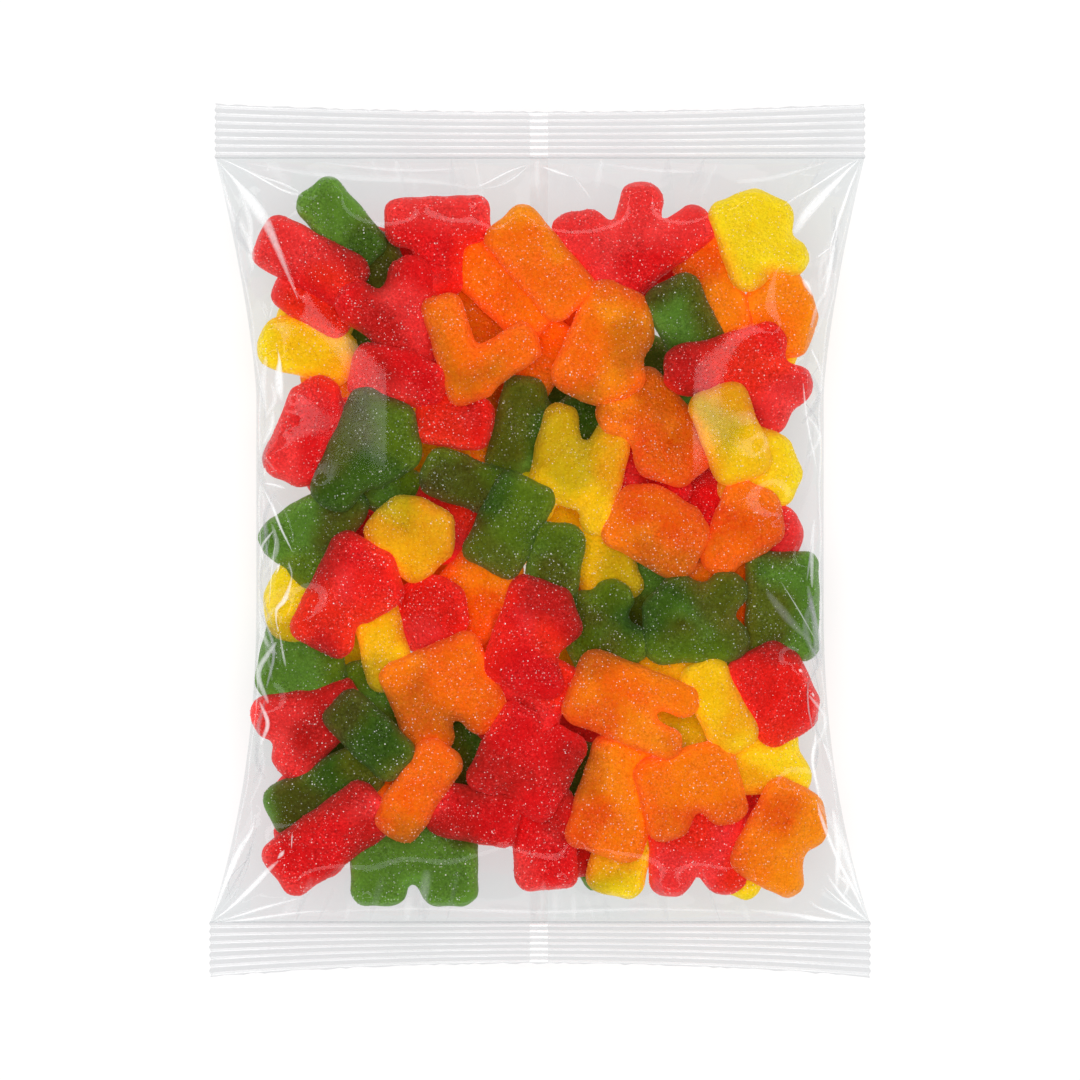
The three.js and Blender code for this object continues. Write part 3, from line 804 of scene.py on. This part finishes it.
film = {
    "rounds": 500, "swell": 0.003, "clear": 0.25, "columns": 200, "endRows": 80, "midRows": 92,
    "endSpan": 30, "endPower": 1.3, "leastRise": 0.35, "mostRise": 1.07, "floorGap": 0.3,
    "thin": 1.5, "thick": 2.5, "tint": (0.908, 0.920, 0.924, 1),
    "foldHeight": 0.55, "foldWidth": 0.7, "foldReach": 4, "streakLift": 0.07, "streakStep": 0.7,
    "edgeInset": 0.9, "edgeWidth": 0.28, "edgeWhite": 0.42, "edgeStep": 1.5,
    "edgeEnd": 84, "edgeWander": 0.25,
    "seed": 21, "crumples": 64, "crumpleEnd": 83,
    "crumpleReach": (0.7, 5.2), "crumpleLength": (6, 20), "crumpleWidth": (0.15, 1.0),
    "crumpleWhite": (0.15, 0.8), "greyShare": 0.36,
    "pleats": 44, "pleatReach": 66, "pleatLength": (4, 13), "pleatWidth": (0.5, 2.2),
    "pleatWhite": (0.08, 0.34), "pleatSlant": 0.00875, "pleatWander": 1.5,
    "pleatStart": 0.4, "pleatNarrow": 0.35, "pleatFade": 0.6,
    "mirror": 0.028, "edgeMirror": 0.14, "cool": (0.96, 0.97, 0.98, 1), "roughness": 0.03,
    "highlightGlow": 0.12, "whiteDull": (0.93, 0.94, 0.95, 1), "grey": (0.46, 0.47, 0.49, 1),
    "streaky": (0.9, 2, 0.2, 0.6, 0.6), "streakyShare": 0.3,
}

# creases with painted highlights: x, y, half width and painted whiteness along each of them
creases = [
    [(-73.8, 87.2, .1, .95), (-66.7, 83.9, .22, .95), (-58.4, 79.3, .35, .9), (-53.9, 78, .9, .5)],
    [(-66.8, 84.3, .12, .7), (-63.2, 82.5, .2, .7), (-58, 80.6, .3, .7), (-53.9, 78.4, .5, .4)],
    [(-73.9, 86.8, .1, .9), (-70, 82.5, .5, .95), (-65.9, 77.5, 1.4, .95), (-63.2, 73.6, 1.7, .8),
     (-60.9, 69.6, 1.2, .6), (-54.6, 54.3, .35, .45)],
    [(-73.9, 86.5, .1, .5), (-72.5, 82.1, .35, .5), (-70.5, 75.9, .6, .4), (-69.1, 69.8, .6, .1)],
    [(-63.1, 53.2, .1, .6), (-61.8, 49.8, .15, .6)],
    [(-60.5, 52.7, .1, .6), (-61.4, 50, .15, .6)],
    [(-59.3, 43.2, .1, .6), (-58.9, 40.5, .5, .95), (-59.1, 37.3, 1.1, .95), (-58.9, 33.4, 1.2, .9),
     (-58.2, 31.1, .5, .3)],
    [(73, 87, .1, .6), (68.2, 84.2, .3, .95), (61.8, 79.9, .25, .8), (58, 77.6, .35, .6),
     (55.2, 75.6, .6, .4)],
    [(73.1, 86.9, .1, .9), (69.8, 83.9, .4, .95), (67.1, 81.1, .8, .9), (64.1, 78, 1.2, .85),
     (60.2, 73.6, 1.6, .9), (57.5, 69.3, 1.6, .7)],
    [(73.2, 86.6, .1, .6), (71.1, 82.1, .25, .95), (69.3, 77.1, .4, .95), (67.3, 71.4, .45, .9),
     (66.1, 67.3, .4, .9), (65.9, 66.1, .2, .3)],
    [(66, 66.4, .2, .8), (64.1, 65, .25, .8), (62.3, 63.6, .3, .3)],
    [(44.3, 81.1, 1.2, .35), (50, 81.6, .8, .35), (56.8, 83.2, .5, .35), (65.9, 86.1, .2, .35)],
    [(59.1, 59.1, .4, .8), (60.5, 57.5, .9, .8), (61.6, 55, .2, .8)],
    [(61.4, 43.6, .1, .85), (61.8, 42.5, .35, .7), (63, 40.2, .3, .6), (64.1, 37, .2, .5)],
    [(74.7, -86.4, .1, .9), (73, -83.2, .3, .95), (70.7, -78.4, .5, .95), (68, -73.2, .5, .9),
     (65, -66.4, .6, .9), (63.4, -62.1, .6, .9), (62.7, -59.3, .35, .8)],
    [(74.8, -86.6, .1, .9), (72.5, -84.8, .3, .95), (69.3, -81.6, .45, .85), (66.8, -78.4, .5, .7),
     (65, -75.7, .6, .3)],
    [(74.7, -86.7, .1, .9), (71.6, -84.3, .25, .8), (67.7, -81.6, .25, .7), (64.3, -78.6, .3, .5)],
    [(74.6, -86.8, .1, .95), (69.3, -85.5, .45, .9), (63.6, -83.6, .3, .8), (60.9, -81.8, .5, .3)],
    [(73.2, -87, .2, .8), (63.6, -86.1, .6, .85), (56.8, -85, .6, .6), (47.7, -83.9, .5, .45)],
    [(74.8, -86.1, .15, .5), (72.5, -80.5, .3, .6), (70.9, -75.7, .3, .4), (69.8, -72.3, .2, .2)],
    [(58.4, -29.2, .2, .4), (58.9, -29.5, .5, .8), (59.4, -30, .2, .4)],
    [(61.6, -34.4, .15, .5), (61.8, -35, .35, .9), (62, -35.6, .15, .5)],
    [(62.3, -43, .2, .7), (62.4, -45.7, .6, .95), (61.7, -49.6, .5, .95), (62.3, -53.6, .45, .9),
     (63.2, -58.2, .5, .9)],
    [(63, -42.7, .15, .8), (64.3, -45.9, .3, .7), (65.9, -50.2, .4, .45), (67.3, -54.8, .4, .2)],
    [(-74.9, -86.8, .12, .9), (-73, -82, .5, .95), (-70.5, -75.7, .7, .95), (-68.2, -70.2, .8, .95),
     (-65.5, -66.1, .6, .9), (-64.6, -62, .3, .4)],
    [(-74.8, -86.8, .15, .8), (-70.5, -83.6, .4, .95), (-65.9, -79.3, .7, .95), (-61.8, -75, .8, .9),
     (-59.1, -72.5, .6, .6)],
    [(-74.6, -87, .15, .85), (-68.2, -85.2, .3, .9), (-62.5, -83.4, .45, .8), (-56.8, -81.8, .35, .5),
     (-53.4, -80.9, .3, .3)],
    [(-74.1, -87, .2, .8), (-68.2, -86.4, .4, .9), (-61.4, -85.5, .4, .7), (-54.6, -84.6, .4, .6),
     (-47.7, -84.1, .4, .5)],
    [(-55.9, -66.1, .2, .6), (-56.1, -69.6, .2, .6)],
    [(-59.3, -72, .3, .7), (-58.4, -71, .6, .8), (-57.7, -70, .3, .6)],
    [(-74.9, -86.4, .1, .5), (-72.3, -79.8, .2, .5), (-70.2, -73.4, .15, .5)],
    [(-47, -84.2, .5, .3), (-25, -83.6, .5, .4), (0, -84.4, .5, .4), (24, -83.7, .5, .4),
     (46, -84.3, .5, .35)],
    [(-63.5, 13, .15, .95), (-60.2, 12.5, .35, .9), (-57.5, 11.6, .5, .6)],
    [(-63.4, 12.7, .15, .95), (-61.6, 9.5, .5, .95), (-60.2, 6.6, .45, .95), (-58.6, 2.7, .35, .85),
     (-56.8, -.9, .35, .9), (-55.9, -2.7, .2, .5)],
    [(-63.2, 13.2, .1, .5), (-62.7, 14.5, .2, .5), (-62.1, 16.6, .4, .7)],
    [(-63.3, 12.3, .2, .5), (-62.7, 8.2, .4, .4), (-63.2, 2, .5, .2)],
    [(-58.9, -5.2, .35, .9), (-59.6, -7.5, .35, .9)],
    [(-56.8, -5.2, .6, .9), (-56.1, -8.4, .3, .4), (-57.7, -13.4, .7, .85), (-59.6, -15.7, .5, .8),
     (-59.6, -18.9, .3, .8), (-59.1, -20.7, .6, .95)],
    [(-58.9, -21.1, .3, .5), (-58.2, -25.2, .35, .5), (-57.5, -28.6, .5, .5)],
    [(54.3, -9.3, .12, .5), (58.4, -15.7, .2, .5), (62.7, -23, .15, .5)],
    [(51.1, -11.6, 1.2, .14), (55.7, -17.3, 1.2, .14), (61.4, -23.4, .6, .14)],
    [(-2.7, 85.2, .15, .9), (-7.3, 83.4, .25, .85), (-11.8, 80.9, .3, .8), (-14.8, 79.6, .5, .4)],
    [(-2.7, 84.8, .1, .6), (-5.7, 82.1, .3, .5), (-9.1, 80.2, .25, .4), (-13.2, 79.3, .3, .2)],
    [(.2, 84.8, .2, .9), (3.4, 83.6, .4, .95), (5.9, 82.7, .3, .9), (7.7, 82.1, .2, .6)],
    [(7.7, 82.3, .2, .5), (10.2, 78.9, .3, .3), (11.8, 76.6, .4, .15)],
    [(-65.9, 85.5, .5, .25), (-47.7, 82.5, .8, .3), (-25, 81.1, .8, .3), (-13.6, 79.3, .5, .2)],
    [(-50, 85.7, .3, .25), (-31.8, 83.9, .5, .35), (-15.9, 84.3, .3, .25)],
    [(13.6, 85.5, .3, .25), (25, 83.9, .6, .35), (36.4, 83.4, .4, .3)],
]


# a crease as a smooth row of points, a little apart, through the ones in the table
def smoothLine(knots, step):
    knots = np.array(knots, float)
    padded = np.vstack([2 * knots[0] - knots[1], knots, 2 * knots[-1] - knots[-2]])
    line = []
    for k in range(1, len(padded) - 2):
        a, b, c, d = padded[k - 1:k + 3]
        pieces = max(2, int(np.hypot(*(c - b)[:2]) / step))
        t = np.linspace(0, 1, pieces, endpoint=False)[:, None]
        line.append(b + 0.5 * t * (c - a + t * (2 * a - 5 * b + 4 * c - d + t * (3 * b - a - 3 * c + d))))
    line = np.vstack(line + [knots[-1:]])
    line[:, 2:] = np.clip(line[:, 2:], (0.05, 0), (2, 1))
    return line


def foldHeight(x, y):
    total = np.zeros(x.shape)
    for line in streaks:
        low, high = line[:, :2].min(0) - film["foldReach"], line[:, :2].max(0) + film["foldReach"]
        near = (x > low[0]) & (x < high[0]) & (y > low[1]) & (y < high[1])
        if not near.any():
            continue
        gap = np.hypot(x[near][:, None] - line[:, 0], y[near][:, None] - line[:, 1])
        nearest = gap.argmin(1)
        width = line[nearest, 2] + film["foldWidth"]
        lift = film["foldHeight"] * line[nearest, 3] * np.exp(-(gap.min(1) / width) ** 2)
        total[near] = np.maximum(total[near], lift)
    return total


def drawnOver(obstacle, start, swell):
    sheet = start.copy()
    for k in range(film["rounds"]):
        inner = (sheet[:-2, 1:-1] + sheet[2:, 1:-1] + sheet[1:-1, :-2] + sheet[1:-1, 2:]) / 4 + swell
        sheet[1:-1, 1:-1] = np.maximum(obstacle[1:-1, 1:-1], inner)
        sheet[~insideBag] = bag["midHeight"]
    return sheet


def sampled(grid, x, y):
    i = np.clip((x - gridX[0]) / heap["step"], 0, len(gridX) - 1.001)
    j = np.clip((y - gridY[0]) / heap["step"], 0, len(gridY) - 1.001)
    i0, j0 = i.astype(int), j.astype(int)
    a, b = i - i0, j - j0
    return (grid[i0, j0] * (1 - a) * (1 - b) + grid[i0 + 1, j0] * a * (1 - b)
            + grid[i0, j0 + 1] * (1 - a) * b + grid[i0 + 1, j0 + 1] * a * b)


front = drawnOver(topOfHeap + film["clear"], bag["midHeight"] + rise * insideBag, film["swell"])
thin = film["thin"]
ratio = np.where(rise > thin, (front - bag["midHeight"]) / np.maximum(rise, thin), 1.0)
ratio = np.clip(ratio, film["leastRise"], film["mostRise"])
streaks = [smoothLine(knots, film["streakStep"]) for knots in creases]


def filmTop(x, y):
    bare = filmRise(x, y)
    drawn = bare * (1 + (sampled(ratio, x, y) - 1) * np.clip(bare / film["thick"], 0, 1))
    return bag["midHeight"] + drawn + foldHeight(x, y) * np.clip(bare / film["thin"], 0, 1)


def filmUnder(x, y):
    return np.maximum(film["floorGap"], bag["midHeight"] - filmRise(x, y))


ends, span = film["endRows"], film["endSpan"]
yRows = np.concatenate([
    -bag["sealLine"] + span * np.linspace(0, 1, ends, endpoint=False) ** film["endPower"],
    np.linspace(-bag["sealLine"] + span, bag["sealLine"] - span, film["midRows"], endpoint=False),
    bag["sealLine"] - span * np.linspace(1, 0, ends) ** film["endPower"],
])
side = np.sin(np.linspace(-1, 1, film["columns"]) * math.pi / 2)
filmY = np.repeat(yRows[None, :], len(side), 0)
filmX = side[:, None] * halfWidth(filmY)


def filmFinish():
    f = Finish("clear_film")
    facing = f.add("ShaderNodeLayerWeight", None, {"Blend": 0.5}, "Facing")
    patchy = f.noise(9, 1)
    gloss = f.add("ShaderNodeBsdfPrincipled", None, {
        "Base Color": f.mixed(patchy, film["cool"], (1, 1, 1, 1)), "Metallic": 1.0,
        "Roughness": film["roughness"] * (1 + patchy),
    })
    return f.overClear(film["mirror"] + film["edgeMirror"] * facing ** 3, film["tint"], gloss)


# painted highlights: white where the film is bent sharply, on some creases painted shade instead, clear
# elsewhere
def whitenedFinish(name, tint, haze, strength, paintedShade=None):
    f = Finish(name)
    streaky = f.patches(*film["streaky"]) * film["streakyShare"] + (1 - film["streakyShare"])
    bright = f.mixed(f.noise(3, 2), film["whiteDull"], (1, 1, 1, 1))
    if paintedShade:
        bright = f.mixed(f.painted("tone"), paintedShade, bright)
    # the white of the streaks emits a little light too, part of the painted highlight
    white = f.add("ShaderNodeBsdfPrincipled", None, {
        "Base Color": bright, "Roughness": 0.3 + 0.2 * f.noise(2, 2),
        "Emission Color": bright, "Emission Strength": film["highlightGlow"],
        "Normal": f.bump(f.noise(1.1, 2), 0.15, 0.5),
    })
    return f.overClear(haze + strength * f.painted("white") * streaky, tint, white)


filmMaterial = filmFinish()
for name, surface, flip in (("filmFront", filmTop, False), ("filmBack", filmUnder, True)):
    makePiece(name, gridPoints(filmX, filmY, surface(filmX, filmY)), gridFaces(*filmX.shape, flip),
              filmMaterial)

# a faint painted highlight along both side edges
edgeY = np.arange(-film["edgeEnd"], film["edgeEnd"] + 0.1, 7)
for direction in (-1, 1):
    wander = film["edgeWander"] * np.sin(edgeY * 0.35 + direction)
    edgeX = direction * (halfWidth(edgeY) - film["edgeInset"] + wander)
    knots = [(x, y, film["edgeWidth"], film["edgeWhite"]) for x, y in zip(edgeX, edgeY)]
    streaks.append(smoothLine(knots, film["edgeStep"]))
tones = [1.0] * len(streaks)

rng = np.random.default_rng(film["seed"])


# one more streak, by chance painted shade in grey instead of a painted highlight
def addStreak(knots):
    streaks.append(smoothLine(knots, film["streakStep"]))
    tones.append(0.0 if rng.random() < film["greyShare"] else 1.0)


# small crumples along both sides, each a painted highlight or a painted shade line
for number in range(film["crumples"]):
    direction = 1 if number % 2 else -1
    length = rng.uniform(*film["crumpleLength"])
    low = rng.uniform(-film["crumpleEnd"], film["crumpleEnd"] - length)
    reach = rng.uniform(*film["crumpleReach"], 3)
    wide, white = rng.uniform(*film["crumpleWidth"]), rng.uniform(*film["crumpleWhite"])
    addStreak([(direction * (float(halfWidth(low + t * length)) - reach[k]), low + t * length, wide, white)
               for k, t in enumerate((0, 0.5, 1))])

# broad soft pleats that run in from both seals and lean towards the middle, faint painted highlights or
# painted shade that fade inwards
for number in range(film["pleats"]):
    direction = 1 if number % 2 else -1
    across = rng.uniform(-film["pleatReach"], film["pleatReach"])
    length = rng.uniform(*film["pleatLength"])
    wide, white = rng.uniform(*film["pleatWidth"]), rng.uniform(*film["pleatWhite"])
    lean = -across * film["pleatSlant"] * length + rng.uniform(-film["pleatWander"], film["pleatWander"])
    start, narrow = bag["sealLine"] - film["pleatStart"], film["pleatNarrow"]
    addStreak([(across + lean * t, direction * (start - length * t), wide * (narrow + (1 - narrow) * t),
                white * (1 - film["pleatFade"] * t)) for t in (0, 0.5, 1)])

# each crease is a narrow low ridge on the film, white across its middle: a painted highlight, or painted
# shade where its tone is grey
ridge = {
    "place": (-1, -0.5, 0, 0.5, 1), "lift": (0, 0.12, 0.2, 0.12, 0), "white": (0, 0.75, 1, 0.75, 0),
    "taper": 0.35,
}
folds = Joined()
for line, tone in zip(streaks, tones):
    run = np.gradient(line[:, :2], axis=0)
    run /= np.maximum(np.hypot(*run.T), 1e-9)[:, None]
    taper = np.sin(np.linspace(0.02, 0.98, len(line)) * math.pi) ** ridge["taper"]
    place = np.array(ridge["place"])[None, :] * (line[:, 2] * taper)[:, None]
    x = line[:, :1] - run[:, 1:] * place
    y = line[:, 1:2] + run[:, :1] * place
    y = np.clip(y, -bag["sealLine"], bag["sealLine"])
    x = np.clip(x, -halfWidth(y), halfWidth(y))
    low = np.minimum(1, line[:, 2:3] * 2) * np.array(ridge["lift"])[None, :]
    z = filmTop(x, y) + film["streakLift"] + low
    white = (line[:, 3] * taper)[:, None] * np.array(ridge["white"])[None, :]
    folds.take(gridPoints(x, y, z), gridFaces(*z.shape, True), white=white.ravel(),
               tone=np.full(z.size, tone))
creaseMaterial = whitenedFinish("creased_film_painted_light", (1, 1, 1, 1), 0.0, 0.72, paintedShade=film["grey"])
folds.piece("filmCreases", creaseMaterial, "film")

seals = {
    "topCutAndSag": (99.1, 1.8), "bottomCutAndSag": (99.3, 3.1), "thickness": 0.25, "ribs": 7, "start": 86.7,
    "ribHeight": 0.4, "columns": 98, "rowsPerRib": 12, "ragged": 0.22, "scallop": 0.2,
    "tint": (0.866, 0.87, 0.876, 1), "broadWave": 0.25, "smallWave": 0.12, "haze": 0.02,
    "seamFrom": -2.3, "seamTo": 1.8, "seamLift": 0.12, "seamColumns": 9, "seamRows": 120, "seamInset": 0.1,
    "seamTint": (0.975, 0.975, 0.975, 1), "seamStrength": 0.9, "flapStep": 0.1, "flapWhite": 0.1,
}


# one crimped rib, from 0 at its inner side to 1 at its outer one: strength, middle and width of each hump;
# the faint and bright humps and the shelf are painted highlights along the crimps, high and low are heights
ribPlan = {
    "faint": (0.26, 0.52, 0.05), "bright": (0.52, 0.78, 0.055), "seam": (0.95, 0.66, 0.17), "seamHaze": 0.12,
    "high": (1.0, 0.75, 0.17), "low": (0.4, 0.5, 0.1), "shelf": 0.22, "shelfFrom": 0.44, "shelfTo": 0.86,
}


def hump(phase, name):
    strength, middle, width = ribPlan[name]
    return strength * np.exp(-((phase - middle) / width) ** 2)


def ribHighlight(phase, across):
    shelf = np.clip((phase - ribPlan["shelfFrom"]) / 0.05, 0, 1)
    shelf = shelf * np.clip((ribPlan["shelfTo"] - phase) / 0.04, 0, 1)
    strength = 0.85 + 0.15 * np.sin(across * 5.1) * np.sin(across * 13.7 + 1)
    return (hump(phase, "faint") + hump(phase, "bright") + ribPlan["shelf"] * shelf) * strength


def sealLevel(direction, across, out):
    wave = seals["broadWave"] * np.sin(across * 9 + direction) + seals["smallWave"] * np.sin(across * 23)
    phase = (seals["ribs"] * out) % 1
    return bag["midHeight"] + wave + seals["ribHeight"] * (hump(phase, "high") + hump(phase, "low"))


def sealReach(direction, across):
    cut, sag = seals["topCutAndSag"] if direction > 0 else seals["bottomCutAndSag"]
    return cut - sag * (1 - across ** 2)


def sealStrip(name, direction):
    rng = np.random.default_rng(40 + direction)
    width = bag["topWidth"] if direction > 0 else bag["bottomWidth"]
    across = np.linspace(-1, 1, seals["columns"])[:, None]
    out = np.linspace(0, 1, seals["ribs"] * seals["rowsPerRib"])[None, :]
    y = seals["start"] + (sealReach(direction, across) - seals["start"]) * out
    y[:, -1:] += rng.uniform(-1, 1, across.shape) * seals["ragged"]
    x = across * (width / 2 + seals["scallop"] * np.sin(2 * math.pi * seals["ribs"] * out))
    z = sealLevel(direction, across, out)
    half = seals["thickness"] / 2
    points = [gridPoints(x, direction * y, z + lift) for lift in (half, -half)]
    n, m = y.shape
    faces = [gridFaces(n, m, direction < 0), gridFaces(n, m, direction > 0) + n * m]
    rim = np.concatenate([np.arange(m), np.arange(1, n) * m + m - 1,
                          np.arange(m - 2, -1, -1) + (n - 1) * m, np.arange(n - 2, 0, -1) * m])
    after = np.roll(rim, -1)
    walls = np.stack([rim, after, after + n * m, rim + n * m], 1)
    faces.append(walls if direction > 0 else walls[:, ::-1])
    # painted highlights along the rib crests, on the upper side only
    white = ribHighlight((seals["ribs"] * out) % 1, across)
    clear = np.zeros(white.size)  # only the upper side is whitened
    makePiece(name, np.concatenate(points), np.concatenate(faces), sealMaterial,
              paint={"white": np.concatenate([white.ravel(), clear])})


sealMaterial = whitenedFinish("sealed_film_painted_highlights", seals["tint"], seals["haze"], 1.0)
sealStrip("sealTop", 1)
sealStrip("sealBottom", -1)

# the seam down the back, crimped with the seals at both ends
seamX = np.linspace(seals["seamFrom"], seals["seamTo"], seals["seamColumns"])[:, None]
seam = Joined()
for direction in (-1, 1):
    across = seamX * 2 / bag["topWidth"]
    out = np.linspace(0, 1, seals["ribs"] * seals["rowsPerRib"])[None, :]
    y = seals["start"] + (sealReach(direction, across) - seals["seamInset"] - seals["start"]) * out
    z = sealLevel(direction, across, out) + seals["thickness"] / 2 + seals["seamLift"]
    white = hump((seals["ribs"] * out) % 1, "seam") + ribPlan["seamHaze"] + 0 * y
    seam.take(gridPoints(seamX, direction * y, z), gridFaces(*y.shape, direction < 0), white=white.ravel())

# the flap under the back film, with its free side a little lower
y = np.linspace(-bag["sealLine"], bag["sealLine"], seals["seamRows"])[None, :] + 0 * seamX
x = seamX + 0 * y
z = filmUnder(x, y) - seals["seamLift"] - seals["flapStep"] * (seamX > seals["seamTo"] - 1)
white = np.where(x < seals["seamFrom"] + 0.4, 0.0, seals["flapWhite"])
seam.take(gridPoints(x, y, np.maximum(seals["seamLift"], z)), gridFaces(*y.shape, True), white=white.ravel())
seam.piece("finSeam", whitenedFinish("seam_film", seals["seamTint"], 0.0, seals["seamStrength"]), "film")
print("film and seals ready")

# floor, light and camera

studio = {
    "white": (0.32, 0.32, 0.32, 1), "floorGlow": 0.66, "world": 0.42,
    "lens": 200, "sensor": 36, "frameWidth": 245.5,
}

floorMesh = bpy.data.meshes.new("floor")
floorMesh.from_pydata([(-3, -3, 0), (3, -3, 0), (3, 3, 0), (-3, 3, 0)], [], [(0, 1, 2, 3)])
floor = bpy.data.objects.new("floor", floorMesh)
bpy.context.scene.collection.objects.link(floor)
f = Finish("floor")
floorMesh.materials.append(f.shade(f.add("ShaderNodeBsdfPrincipled", None, {
    "Base Color": studio["white"], "Roughness": 0.6, "Specular IOR Level": 0.1,
    "Emission Color": (1, 1, 1, 1), "Emission Strength": studio["floorGlow"]})))

world = bpy.data.worlds.new("studio")
bpy.context.scene.world = world
world.use_nodes = True
sky = world.node_tree.nodes["Background"]
sky.inputs["Color"].default_value = (1, 1, 1, 1)
sky.inputs["Strength"].default_value = studio["world"]
world.cycles_visibility.glossy = False

# name, place, width, height, watts, and whether the film mirrors it
lamps = [
    ("keyBox", (0, 0, 1.6), 1.6, 1.6, 27, False),
    ("leftStrip", (-0.9, 0.1, 0.7), 0.05, 1.3, 0.45, True),
    ("rightStrip", (0.9, 0.1, 0.7), 0.05, 1.3, 0.45, True),
    ("topStrip", (0, 0.95, 0.75), 1.3, 0.05, 0.5, True),
    ("lowStrip", (0, -0.95, 0.7), 1.3, 0.05, 0.4, True),
]
for name, place, wide, high, power, mirrored in lamps:
    lamp = bpy.data.lights.new(name, "AREA")
    lamp.shape, lamp.size, lamp.size_y, lamp.energy = "RECTANGLE", wide, high, power
    holder = bpy.data.objects.new(name, lamp)
    holder.location = place
    holder.visible_glossy = mirrored
    holder.rotation_euler = (-Vector(place)).to_track_quat("-Z", "Y").to_euler()
    bpy.context.scene.collection.objects.link(holder)

camera = bpy.data.objects.new("camera", bpy.data.cameras.new("camera"))
camera.data.lens, camera.data.sensor_width = studio["lens"], studio["sensor"]
distance = studio["frameWidth"] * mm * studio["lens"] / studio["sensor"]
camera.location = (0, 0, bag["midHeight"] * mm + distance)
camera.data.clip_end = 20
bpy.context.scene.collection.objects.link(camera)
bpy.context.scene.camera = camera
bpy.context.scene.view_settings.view_transform = "Standard"

print("done")
